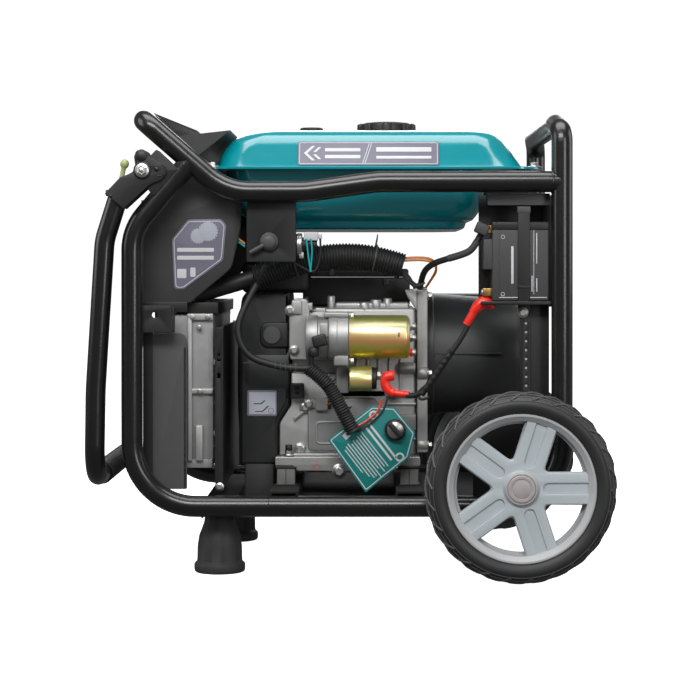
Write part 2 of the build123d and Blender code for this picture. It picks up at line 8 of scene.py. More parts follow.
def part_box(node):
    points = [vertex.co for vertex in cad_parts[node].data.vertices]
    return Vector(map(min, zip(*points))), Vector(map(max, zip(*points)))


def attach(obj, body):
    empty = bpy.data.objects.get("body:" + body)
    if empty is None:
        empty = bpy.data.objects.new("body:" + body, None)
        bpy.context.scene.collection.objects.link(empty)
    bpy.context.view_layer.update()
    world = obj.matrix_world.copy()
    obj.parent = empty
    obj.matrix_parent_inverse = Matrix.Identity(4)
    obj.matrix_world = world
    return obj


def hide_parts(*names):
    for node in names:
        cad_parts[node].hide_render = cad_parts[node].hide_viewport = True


# Looks of the portable generator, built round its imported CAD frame.
# Sizes and places below are in millimetres unless a name says otherwise.

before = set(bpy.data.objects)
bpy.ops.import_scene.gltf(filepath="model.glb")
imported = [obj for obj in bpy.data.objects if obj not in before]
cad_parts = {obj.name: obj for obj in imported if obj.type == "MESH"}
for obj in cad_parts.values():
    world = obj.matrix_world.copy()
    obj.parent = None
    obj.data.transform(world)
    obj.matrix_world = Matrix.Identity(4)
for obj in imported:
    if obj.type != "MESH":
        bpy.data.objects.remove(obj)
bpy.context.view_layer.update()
MM = 0.001
NEAR, FAR = -1, 1

FRAME_Y = 235.0                     # middle of each side frame, from the middle of the machine
RAIL_Z, BASE_Z = 593.0, 106.0       # middles of the top rail and of the floor rail
FOOT_Y = 178.0                      # middles of the feet, either side
PIVOT_X, PIVOT_Z = -305, 609        # handle pivot
SHROUD_Z, DUCT_Z = 296, 325         # middles of the fan housing and of the alternator
MOTOR_Y, MOTOR_Z, COIL_Z = -164.0, 358.0, 294   # starter motor and its solenoid
VALVE_X, VALVE_Z = -117.5, 503      # fuel valve
DIP_X, DIP_Z = 73, 217              # dipstick
SOCKET_Y, SOCKET_Z = (-100, -30), 456           # outlets on the panel
BUFFER_X, BUFFER_Y = (-95, 95), (-140, 105)     # rubber buffers under the engine
RIM_BORE = 109.6                    # inner radius of the tyre
TREAD_BARS = 26                     # on each shoulder of a tyre
SPOKE_STEP = 72                     # degrees between the wheel spokes
BATTERY_LOW, BATTERY_HIGH = Vector((218, -232, 414)), Vector((303, -170, 534))


# ---- places read from the frame ------------------------------------------
def corners(node):
    """Lowest and highest corner of a CAD node in millimetres."""
    low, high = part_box(node)
    return low / MM, high / MM


# ---- materials -------------------------------------------------------------
def shader(name, colour, rough, metal=0.0, coat=0.0, mottle=0.08, mottle_scale=40,
           grain=0.15, grain_scale=1800, rough_spread=0.06):
    """Principled material with mottled colour, uneven gloss and a fine grain."""
    material = bpy.data.materials.new(name)
    material.use_nodes = True
    nodes, links = material.node_tree.nodes, material.node_tree.links
    bsdf = nodes["Principled BSDF"]
    bsdf.inputs["Metallic"].default_value = metal
    bsdf.inputs["Coat Weight"].default_value = coat
    bsdf.inputs["Coat Roughness"].default_value = 0.12
    place = nodes.new("ShaderNodeTexCoord")
    cloud = nodes.new("ShaderNodeTexNoise")
    cloud.inputs["Scale"].default_value = mottle_scale
    cloud.inputs["Detail"].default_value = 4
    links.new(place.outputs["Object"], cloud.inputs["Vector"])
    mix = nodes.new("ShaderNodeMix")
    mix.data_type = "RGBA"
    mix.inputs["A"].default_value = [c * (1 - mottle) for c in colour] + [1]
    mix.inputs["B"].default_value = [min(c * (1 + mottle), 1) for c in colour] + [1]
    links.new(cloud.outputs["Fac"], mix.inputs["Factor"])
    links.new(mix.outputs["Result"], bsdf.inputs["Base Color"])
    gloss = nodes.new("ShaderNodeMapRange")
    gloss.inputs["To Min"].default_value = max(rough - rough_spread, 0.02)
    gloss.inputs["To Max"].default_value = min(rough + rough_spread, 1)
    links.new(cloud.outputs["Fac"], gloss.inputs["Value"])
    links.new(gloss.outputs["Result"], bsdf.inputs["Roughness"])
    fine = nodes.new("ShaderNodeTexNoise")
    fine.inputs["Scale"].default_value = grain_scale
    fine.inputs["Detail"].default_value = 3
    links.new(place.outputs["Object"], fine.inputs["Vector"])
    bump = nodes.new("ShaderNodeBump")
    bump.inputs["Strength"].default_value = grain
    bump.inputs["Distance"].default_value = 0.0003
    links.new(fine.outputs["Fac"], bump.inputs["Height"])
    links.new(bump.outputs["Normal"], bsdf.inputs["Normal"])
    return material


def plating_bands_and_highlight(name, low, high, stops):
    """Iridescent zinc plating with a painted highlight: colour bands that follow the height of the drum. The
    tints are the plating's own colour and the pale band is a painted highlight.
    """
    material = shader(name, (0.6, 0.5, 0.1), 0.3, metal=0.62, grain=0.08)
    nodes, links = material.node_tree.nodes, material.node_tree.links
    place = nodes.new("ShaderNodeTexCoord")
    ripple = nodes.new("ShaderNodeTexNoise")
    ripple.inputs["Scale"].default_value = 22
    links.new(place.outputs["Object"], ripple.inputs["Vector"])
    split = nodes.new("ShaderNodeSeparateXYZ")
    links.new(place.outputs["Object"], split.inputs["Vector"])
    height = nodes.new("ShaderNodeMapRange")
    height.inputs["From Min"].default_value = low * MM
    height.inputs["From Max"].default_value = high * MM
    links.new(split.outputs["Z"], height.inputs["Value"])
    shift = nodes.new("ShaderNodeMath")
    shift.operation = "MULTIPLY_ADD"
    shift.inputs[1].default_value = 0.14
    links.new(ripple.outputs["Fac"], shift.inputs[0])
    links.new(height.outputs["Result"], shift.inputs[2])
    # ramp by height: the plating's tints, plus a pale band that is a painted highlight
    ramp = nodes.new("ShaderNodeValToRGB")
    links.new(shift.outputs["Value"], ramp.inputs["Fac"])
    for index, (position, colour) in enumerate(stops):
        if index < 2:
            stop = ramp.color_ramp.elements[index]
            stop.position = position
        else:
            stop = ramp.color_ramp.elements.new(position)
        stop.color = (*colour, 1)
    links.new(ramp.outputs["Color"], nodes["Principled BSDF"].inputs["Base Color"])
    return material


POWDER = shader("powder_coat_black", (0.006, 0.006, 0.006), 0.3, coat=0.35, grain=0.1, grain_scale=700)
SATIN = shader("satin_black", (0.01, 0.01, 0.01), 0.45, grain=0.2)
PLASTIC = shader("moulded_black", (0.013, 0.0135, 0.0135), 0.42, grain=0.35, grain_scale=1300)
SOFT_BLACK = shader("rubber_black", (0.013, 0.013, 0.014), 0.5, grain=0.3)
TYRE = shader("tyre_rubber", (0.02, 0.02, 0.021), 0.5, mottle=0.16, grain=0.4, grain_scale=900)
FOOT = shader("foot_rubber", (0.03, 0.03, 0.03), 0.66, mottle=0.15, grain=0.4, grain_scale=900)
WHEEL = shader("wheel_plastic", (0.47, 0.52, 0.55), 0.4, mottle=0.03, grain=0.12)
WHEEL_CAP = shader("wheel_cap", (0.4, 0.36, 0.36), 0.42, mottle=0.16, mottle_scale=90)
TEAL = shader("tank_enamel", (0.0, 0.235, 0.275), 0.2, coat=0.8, mottle=0.04, grain=0.05,
              grain_scale=300, rough_spread=0.03)
TAG = shader("tag_card", (0.005, 0.2, 0.19), 0.42, mottle=0.06)
LILAC = shader("label_lilac", (0.17, 0.16, 0.215), 0.4, mottle=0.06)
LIGHT_LABEL = shader("label_silver", (0.42, 0.44, 0.5), 0.36, mottle=0.06)
PRINT = shader("white_print", (0.62, 0.62, 0.64), 0.5, mottle=0.05)
INK = shader("dark_ink", (0.03, 0.03, 0.035), 0.5, mottle=0.05)
CAST = shader("cast_aluminium", (0.44, 0.44, 0.435), 0.46, metal=0.72, mottle=0.14, mottle_scale=60,
              grain=0.9, grain_scale=850)
CAST_DULL = shader("cast_dull", (0.3, 0.3, 0.3), 0.55, metal=0.6, mottle=0.18, mottle_scale=60,
                   grain=0.9, grain_scale=700)
ZINC = shader("zinc_plate", (0.6, 0.6, 0.58), 0.4, metal=1.0, mottle=0.12, mottle_scale=220)
STEEL = shader("bare_steel", (0.42, 0.41, 0.4), 0.34, metal=1.0, mottle=0.12, mottle_scale=120)
BRASS = shader("brass_terminal", (0.6, 0.36, 0.13), 0.36, metal=1.0, mottle=0.14)
EXHAUST = shader("exhaust_steel", (0.26, 0.24, 0.22), 0.48, metal=0.9, mottle=0.22, mottle_scale=18)
GUARD = shader("grey_sheet", (0.07, 0.07, 0.07), 0.46, mottle=0.05, grain=0.25)
COVER = shader("cover_sheet", (0.036, 0.036, 0.036), 0.44, mottle=0.06, grain=0.25)
CASE = shader("battery_case", (0.05, 0.05, 0.05), 0.5, mottle=0.07, grain=0.35)
RED = shader("red_rubber", (0.88, 0.025, 0.012), 0.34, coat=0.25, mottle=0.06, grain=0.1)
BLOCK = shader("mount_rubber", (0.16, 0.16, 0.155), 0.65, mottle=0.2, grain=0.5, grain_scale=600)
KNOB = shader("knob_green", (0.36, 0.42, 0.17), 0.4, mottle=0.08)
CYAN = shader("wire_cyan", (0.01, 0.42, 0.45), 0.4)
ORANGE = shader("wire_orange", (0.62, 0.2, 0.02), 0.4)
RIM_RING = shader("wheel_ring", (0.44, 0.45, 0.455), 0.36, mottle=0.03, grain=0.12)
# lighter copy of the tyre rubber: a painted highlight on the ridges and tread bars
RAISED_RUBBER_SHEEN = shader("tyre_raised_sheen", (0.06, 0.06, 0.062), 0.5, mottle=0.14, grain=0.3, grain_scale=900)
MATT_BLACK = shader("matt_black", (0.007, 0.007, 0.007), 0.9, grain=0.2)
SHELL = shader("alternator_plastic", (0.036, 0.037, 0.037), 0.42, mottle=0.06, grain=0.3)
DUCT_BLACK = shader("duct_black", (0.034, 0.034, 0.035), 0.5, mottle=0.06, grain=0.3)
COPPER = shader("winding_copper", (0.5, 0.2, 0.08), 0.4, metal=0.9, mottle=0.2, mottle_scale=150)
GLASS = shader("display_glass", (0.02, 0.035, 0.03), 0.1, coat=0.8, grain=0.02)
# the pale band at 0.8 is a painted highlight; the other bands are the plating's iridescent tints
GOLD_AND_HIGHLIGHT = plating_bands_and_highlight("gold_passivate_and_highlight", 324, 392, [
    (0.02, (0.6, 0.5, 0.04)), (0.2, (0.85, 0.68, 0.06)), (0.32, (0.6, 0.55, 0.12)),
    (0.48, (0.85, 0.42, 0.16)),
    (0.62, (0.92, 0.66, 0.3)), (0.8, (0.95, 0.85, 0.55)), (0.97, (0.4, 0.4, 0.12))])
# the pale bands at 0.64 and 0.8 are a painted highlight; the other bands are the plating's iridescent tints
COIL_PLATING_AND_HIGHLIGHT = plating_bands_and_highlight("coil_passivate_and_highlight", 274, 314, [
    (0.02, (0.2, 0.42, 0.2)), (0.3, (0.6, 0.6, 0.22)), (0.5, (0.9, 0.6, 0.25)), (0.64, (0.95, 0.86, 0.4)),
    (0.8, (0.85, 0.82, 0.45)), (0.98, (0.5, 0.46, 0.12))])


# ---- mesh helpers ------------------------------------------------------------
AXES = {"x": (Vector((1, 0, 0)), Vector((0, 1, 0)), Vector((0, 0, 1))),
        "y": (Vector((0, 1, 0)), Vector((0, 0, 1)), Vector((1, 0, 0))),
        "z": (Vector((0, 0, 1)), Vector((1, 0, 0)), Vector((0, 1, 0)))}


def link(mesh, material, angle=35):
    """Loose object with smooth faces and sharp creases, waiting to be assembled."""
    for face in mesh.polygons:
        face.use_smooth = True
    mesh.set_sharp_from_angle(angle=math.radians(angle))
    mesh.materials.append(material)
    piece = bpy.data.objects.new(mesh.name, mesh)
    bpy.context.collection.objects.link(piece)
    return piece


def from_bmesh(bm, material, angle=35):
    """Loose object from a bmesh, with its faces turned outward."""
    bmesh.ops.recalc_face_normals(bm, faces=bm.faces)
    mesh = bpy.data.meshes.new("loose")
    bm.to_mesh(mesh)
    bm.free()
    return link(mesh, material, angle)


def box(low, high, material, edge=1.0, turn=None):
    """Block with rounded edges; turn is an angle in degrees about Y at its centre."""
    low, high = Vector(low) * MM, Vector(high) * MM
    bm = bmesh.new()
    bmesh.ops.create_cube(bm, size=1)
    bmesh.ops.scale(bm, vec=[abs(v) for v in high - low], verts=bm.verts)
    if edge:
        bmesh.ops.bevel(bm, geom=bm.edges[:], offset=edge * MM, segments=3, profile=0.5,
                        affect="EDGES", clamp_overlap=True)
    if turn:
        bmesh.ops.rotate(bm, matrix=Matrix.Rotation(math.radians(turn), 3, "Y"), verts=bm.verts)
    bmesh.ops.translate(bm, vec=(low + high) / 2, verts=bm.verts)
    return from_bmesh(bm, material)


def boxes(material, *rows):
    """Blocks of one material, each a row of its low corner, its high corner and its edge radius."""
    return [box(row[:3], row[3:6], material, row[6]) for row in rows]


def side_box(side, x, reach, z, material, edge):
    """Block on one side of the machine; reach is two distances from its middle plane."""
    y = sorted(side * distance for distance in reach)
    return box((x[0], y[0], z[0]), (x[1], y[1], z[1]), material, edge)


def rings(loops, material, angle=35, caps=True, closed=False):
    """Skin through loops of equally many points."""
    bm = bmesh.new()
    rows = [[bm.verts.new(Vector(point) * MM) for point in loop] for loop in loops]
    count = len(rows[0])
    pairs = list(zip(rows, rows[1:])) + ([(rows[-1], rows[0])] if closed else [])
    for one, two in pairs:
        for k in range(count):
            bm.faces.new((one[k], one[(k + 1) % count], two[(k + 1) % count], two[k]))
    if caps and not closed:
        bm.faces.new(rows[0])
        bm.faces.new(list(reversed(rows[-1])))
    return from_bmesh(bm, material, angle)


def lathe(profile, origin, axis, material, sides=48, angle=35, caps=True, closed=False, phase=0.0):
    """Profile of (distance along the axis, radius) turned about the axis through origin."""
    along, u, v = AXES[axis]
    origin = Vector(origin)
    loops = []
    for distance, radius in profile:
        angles = [2 * math.pi * (k + phase) / sides for k in range(sides)]
        loops.append([origin + along * distance + (u * math.cos(a) + v * math.sin(a)) * radius
                      for a in angles])
    return rings(loops, material, angle, caps, closed)


def disc(centre, axis, radius, length, material, edge=0.6, sides=40):
    """Round piece centred on a point, with its two rims softened."""
    half = length / 2
    edge = min(edge, half, radius)
    return lathe([(-half, radius - edge), (-half + edge, radius), (half - edge, radius),
                  (half, radius - edge)], centre, axis, material, sides, angle=50)


def torus(centre, axis, radius, thick, material, sides=40):
    """Round ring, for weld beads, seams and clamps."""
    steps = [2 * math.pi * k / 10 for k in range(10)]
    profile = [(thick * math.cos(a), radius + thick * math.sin(a)) for a in steps]
    return lathe(profile, centre, axis, material, sides, angle=80, closed=True)


def bolt(centre, axis, out, material=None, flat=4.5, washer=7.0, height=5.0):
    """Flange bolt head; out is +1 or -1 along the axis."""
    material = material or ZINC
    shift = AXES[axis][0] * out
    centre = Vector(centre)
    washer_disc = disc(centre + shift * 0.9, axis, washer, 1.8, material, 0.5, 32)
    flange = disc(centre + shift * 2.2, axis, flat * 1.22, 1.2, material, 0.4, 32)
    half = height / 2
    head = lathe([(-half, flat * 1.1), (half - 0.8, flat * 1.1), (half, flat * 0.92)],
                 centre + shift * (2 + half), axis, material, sides=6, angle=20, phase=0.25)
    if out < 0:
        place = Matrix.Translation((centre + shift * (2 + half)) * MM)
        head.data.transform(place @ Matrix.Rotation(math.pi, 4, AXES[axis][1]) @ place.inverted())
    return [washer_disc, flange, head]


def rounded(points, radius, steps=5):
    """Outline whose corners are arcs; radius is one number or one for each corner."""
    radii = radius if isinstance(radius, (list, tuple)) else [radius] * len(points)
    outline = []
    for index, corner in enumerate(points):
        here = Vector(corner)
        back = Vector(points[index - 1]) - here
        ahead = Vector(points[(index + 1) % len(points)]) - here
        half_angle = back.angle(ahead) / 2
        reach = min(radii[index] / math.tan(half_angle), 0.49 * back.length, 0.49 * ahead.length)
        if reach < 0.05:
            outline.append(tuple(here))
            continue
        start, end = here + back.normalized() * reach, here + ahead.normalized() * reach
        for step in range(steps + 1):
            t = step / steps
            point = start * (1 - t) ** 2 + here * (2 * t * (1 - t)) + end * t ** 2
            outline.append(tuple(point))
    return outline


def circle(u, v, radius, count=32):
    """Round outline about a middle point."""
    angles = [2 * math.pi * k / count for k in range(count)]
    return [(u + radius * math.cos(a), v + radius * math.sin(a)) for a in angles]


def rectangle(u0, u1, v0, v1, radius):
    """Outline of a rectangle with rounded corners."""
    return rounded([(u0, v0), (u1, v0), (u1, v1), (u0, v1)], radius)


PLATE_TURN = {"x": Matrix(((0, 0, 1, 0), (1, 0, 0, 0), (0, 1, 0, 0), (0, 0, 0, 1))),
              "y": Matrix(((1, 0, 0, 0), (0, 0, -1, 0), (0, 1, 0, 0), (0, 0, 0, 1))),
              "z": Matrix.Identity(4)}


def plate(outlines, axis, start, end, material, edge=0.6, angle=35):
    """Flat piece from an outline and its holes, from start to end along the axis."""
    thick = abs(end - start)
    edge = min(edge, thick * 0.45)
    curve = bpy.data.curves.new("loose", "CURVE")
    curve.dimensions = "2D"
    curve.fill_mode = "BOTH"
    curve.extrude = (thick / 2 - edge) * MM
    curve.bevel_depth = edge * MM
    curve.bevel_resolution = 2
    curve.offset = -edge * MM
    for outline in outlines:
        spline = curve.splines.new("POLY")
        spline.points.add(len(outline) - 1)
        for point, (u, v) in zip(spline.points, outline):
            point.co = (u * MM, v * MM, 0, 1)
        spline.use_cyclic_u = True
    flat = bpy.data.objects.new("loose", curve)
    bpy.context.collection.objects.link(flat)
    bpy.context.view_layer.update()
    mesh = bpy.data.meshes.new_from_object(flat)
    bpy.data.objects.remove(flat)
    mesh.materials.clear()
    shift = AXES[axis][0] * (start + end) / 2 * MM
    mesh.transform(Matrix.Translation(shift) @ PLATE_TURN[axis])
    bm = bmesh.new()
    bm.from_mesh(mesh)
    bmesh.ops.remove_doubles(bm, verts=bm.verts, dist=1e-6)
    return from_bmesh(bm, material, angle)


def spline_curve(points, radius=0.0):
    """Temporary NURBS curve object through given control points."""
    curve = bpy.data.curves.new("loose", "CURVE")
    curve.dimensions = "3D"
    curve.resolution_u = 14
    curve.bevel_depth = radius * MM
    curve.bevel_resolution = 6
    curve.use_fill_caps = True
    spline = curve.splines.new("NURBS")
    spline.points.add(len(points) - 1)
    for target, point in zip(spline.points, points):
        target.co = (*(Vector(point) * MM), 1)
    spline.order_u = 3
    spline.use_endpoint_u = True
    piece = bpy.data.objects.new("loose", curve)
    bpy.context.collection.objects.link(piece)
    bpy.context.view_layer.update()
    return piece


def strand(points, radius, material):
    """Round cable along a smooth route."""
    source = spline_curve(points, radius)
    mesh = bpy.data.meshes.new_from_object(source)
    bpy.data.objects.remove(source)
    mesh.materials.clear()
    return link(mesh, material, 60)


def walk(points, step):
    """Points at even steps along the smooth route, in millimetres."""
    source = spline_curve(points)
    mesh = bpy.data.meshes.new_from_object(source)
    bpy.data.objects.remove(source)
    line = [vertex.co / MM for vertex in mesh.vertices]
    bpy.data.meshes.remove(mesh)
    lengths = [0.0]
    for one, two in zip(line, line[1:]):
        lengths.append(lengths[-1] + (two - one).length)
    count = max(int(lengths[-1] / step), 2)
    result, index = [], 0
    for k in range(count + 1):
        target = lengths[-1] * k / count
        while index < len(line) - 2 and lengths[index + 1] < target:
            index += 1
        span = lengths[index + 1] - lengths[index] or 1.0
        result.append(line[index].lerp(line[index + 1], (target - lengths[index]) / span))
    return result


def skin(path, radii, material, sides=24, angle=60):
    """Tube along a path of points; radii is one number or one for each point."""
    path = [Vector(point) for point in path]
    radii = radii if isinstance(radii, list) else [radii] * len(path)
    loops, side = [], None
    for index, point in enumerate(path):
        ahead = path[min(index + 1, len(path) - 1)] - path[max(index - 1, 0)]
        ahead.normalize()
        if side is None:
            side = ahead.orthogonal().normalized()
        side = (side - ahead * side.dot(ahead)).normalized()
        other = ahead.cross(side)
        angles = [2 * math.pi * k / sides for k in range(sides)]
        loops.append([point + (side * math.cos(a) + other * math.sin(a)) * radii[index]
                      for a in angles])
    return rings(loops, material, angle)


def corrugated(points, radius, pitch, depth, material):
    """Ribbed conduit or hose along a smooth route."""
    path = walk(points, pitch / 6)
    shape = (0.0, 0.75, 1.0, 1.0, 0.75, 0.0)
    radii = [radius - depth + depth * shape[k % 6] for k in range(len(path))]
    return skin(path, radii, material, sides=28, angle=75)


def flatten(parts):
    """One flat list out of nested lists of objects."""
    found = []
    for part in parts:
        found += flatten(part) if isinstance(part, (list, tuple)) else [part]
    return found


def assemble(name, parts, body="root", stands_for=()):
    """Joins loose objects into one piece of the model and hangs it on its body."""
    parts = flatten(parts)
    with bpy.context.temp_override(active_object=parts[0], object=parts[0],
                                   selected_objects=parts, selected_editable_objects=parts):
        bpy.ops.object.join()
    piece = parts[0]
    piece.name = piece.data.name = name
    if stands_for:
        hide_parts(*stands_for)
    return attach(piece, body)


def dress(material, *nodes):
    """Gives CAD nodes their material."""
    for node in nodes:
        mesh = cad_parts[node].data
        mesh.materials.clear()
        mesh.materials.append(material)


# ---- frame, axle and feet -----------------------------------------------------
def frame_details():
    """Weld beads where tubes meet, the seam of the floor rail and the closed channel ends."""
    upright_x = corners("end_loop")[1].x - 16
    beads = []
    for side in (NEAR, FAR):
        y = side * FRAME_Y
        beads.append(torus((upright_x - 14.5, y, RAIL_Z), "x", 15.6, 2.2, POWDER))
        beads.append(torus((-117, y, BASE_Z), "x", 16.0, 0.7, POWDER))
        steps = walk([(-262, y + side * 9, 601), (-250, y + side * 15, 613),
                      (-236, y + side * 14, 624), (-226, y + side * 8, 630)], 2)
        ripple = [1.6 + 0.5 * math.sin(k * 2.1) for k in range(len(steps))]
        beads.append(skin(steps, ripple, POWDER, sides=10))
    for side in (NEAR, FAR):
        beads += [side_box(side, (x - 18, x + 18), (206, 214), (98.5, 124.5), MATT_BLACK, 0.6)
                  for x in BUFFER_X]
    assemble("frame_welds", beads)
    dress(POWDER, "side_frame_near", "side_frame_far", "top_rails", "end_loop", "panel_crossbar",
          "handle_tube")
    dress(MATT_BLACK, "cross_members")
    dress(STEEL, "axle")


def feet():
    """Fluted bell feet with a flared base ring."""
    low, high = corners("rubber_feet")
    centre_x = (low.x + high.x) / 2
    profile = [(0, 36), (1.5, 38.2), (5, 39), (12, 39), (14, 38), (16, 35.5), (18, 34.6), (40, 34),
               (56, 31.5), (66, 27.5), (76, 24), (84, 23), (88, 22)]
    parts = []
    for y in (-FOOT_Y, FOOT_Y):
        loops = []
        for height, radius in profile:
            flute = 0.06 if 18 <= height <= 66 else 0.02
            loop = []
            for k in range(96):
                angle = 2 * math.pi * k / 96
                wave = abs(math.cos(4 * angle + 0.4)) ** 0.6
                reach = radius * (1 - flute + flute * wave)
                loop.append((centre_x + reach * math.cos(angle), y + reach * math.sin(angle), height))
            loops.append(loop)
        parts.append(rings(loops, FOOT, 28))
    assemble("bell_feet", parts, stands_for=["rubber_feet"])


# ---- wheels ---------------------------------------------------------------------
def tyre(name):
    """Solid tyre: bulged walls, a moulded ridge and diagonal tread bars. The ridges and bars are a lighter
    copy of the rubber, as a painted highlight.
    """
    low, high = corners(f"tyre_{name}")
    centre = (low + high) / 2
    half, outer = (high.y - low.y) / 2, (high.x - low.x) / 2
    inner = RIM_BORE
    section = [(0, inner), (half - 5.5, inner), (half - 4, inner + 0.8), (half - 2.6, inner + 3.4),
               (half - 0.8, inner + 7), (half, inner + 12), (half - 0.3, inner + 15),
               (half - 1.6, inner + 18.5), (half - 4, inner + 21), (half - 6.5, inner + 23.4),
               (half - 10, inner + 26), (half - 17, outer - 4.2), (0, outer - 3.6)]
    profile = section + [(-t, r) for t, r in reversed(section[1:-1])]
    parts = [lathe(profile, centre, "y", TYRE, sides=120, angle=50, closed=True)]
    # ridge rings and tread bars in the lighter rubber, a painted highlight
    for flank in (NEAR, FAR):
        for along, radius, thick in ((half - 2.4, inner + 19.4, 0.9), (half - 8, inner + 24.4, 1.1),
                                     (half - 14, outer - 4.6, 1.1)):
            parts.append(torus(centre + Vector((0, flank * along, 0)), "y", radius, thick, RAISED_RUBBER_SHEEN, 120))
        for index in range(TREAD_BARS):
            start = 2 * math.pi * index / TREAD_BARS
            points = []
            for along, radius, lag in ((half - 3.4, inner + 20.4, 0), (half - 7, inner + 24.2, 0.05),
                                       (half - 15, outer - 3.4, 0.13), (1, outer - 2.4, 0.24)):
                angle = start + flank * lag
                points.append(centre + Vector((radius * math.cos(angle), flank * along,
                                               radius * math.sin(angle))))
            parts.append(strand(points, 2.1, RAISED_RUBBER_SHEEN))
    assemble(f"tyre_{name}_moulded", parts, f"wheel_{name}", [f"tyre_{name}"])


def rim(side, name):
    """Moulded rim with five broad spokes, each with a sunk slot, and a hub cap."""
    low, high = corners(f"tyre_{name}")
    centre = (low + high) / 2
    y0 = centre.y
    ring = [(-27, 109.4), (26, 109.4), (27.2, 108.4), (27.2, 106), (26, 104.8), (25.2, 104.2), (22, 99.8),
            (20.5, 98.6), (17, 98.2), (6, 97.6), (5, 97), (5, 94), (0, 94), (0, 97.4), (-20, 98.4),
            (-27, 103)]

    def turned(profile, material, sides, **more):
        return lathe([(side * t, r) for t, r in profile], centre, "y", material, sides, **more)

    face, floor, back = y0 + side * 20, y0 + side * 16.5, y0 + side * 3
    cx, cz = centre.x, centre.z

    def polar(along, across, degrees):
        angle = math.radians(degrees)
        return (cx + along * math.cos(angle) - across * math.sin(angle),
                cz + along * math.sin(angle) + across * math.cos(angle))

    def star(spoke_end, half_width, corner):
        points, radii = [], []
        for turn in range(0, 360, SPOKE_STEP):
            points += [polar(spoke_end, -half_width, turn), polar(spoke_end, half_width, turn),
                       polar(corner, 0, turn + SPOKE_STEP / 2)]
            radii += [0.5, 0.5, 7]
        return rounded(points, radii)

    slots = []
    for turn in range(0, 360, SPOKE_STEP):
        nose = [polar(40 - 8.2 * math.sin(math.radians(a)), -8.2 * math.cos(math.radians(a)), turn)
                for a in range(0, 181, 15)]
        slots.append([polar(97.6, -8.6, turn), *nose, polar(97.6, 8.6, turn)])
    hub = [(0, 30), (19.4, 29), (20.6, 26), (22, 24.4), (25, 23.6), (26.2, 22.8), (26.4, 21.4),
           (25.4, 20.8), (24.6, 20.6)]
    cap = [(24, 20.8), (26.6, 20.2), (27.6, 18.6), (27.6, 15.4), (26.8, 14.8), (26.6, 13.6), (27.4, 13),
           (28.2, 9), (28.6, 4)]
    parts = [turned(ring, RIM_RING, 120, angle=30, closed=True),
             plate([star(102.5, 22.6, 38), *slots], "y", face, floor, WHEEL, 0.9),
             plate([star(102.5, 24.2, 40.5)], "y", floor + side * 0.6, back, WHEEL, 2.2),
             turned(hub, RIM_RING, 64, angle=40, caps=False), turned(cap, WHEEL_CAP, 64, angle=30)]
    parts += [turned(inside, WHEEL, 64, caps=False)
              for inside in ([(-28, 27), (0, 29), (4, 30)], [(-28, 27), (-28, 12)])]
    assemble(f"wheel_rim_{name}_moulded", parts, f"wheel_{name}", [f"wheel_rim_{name}"])


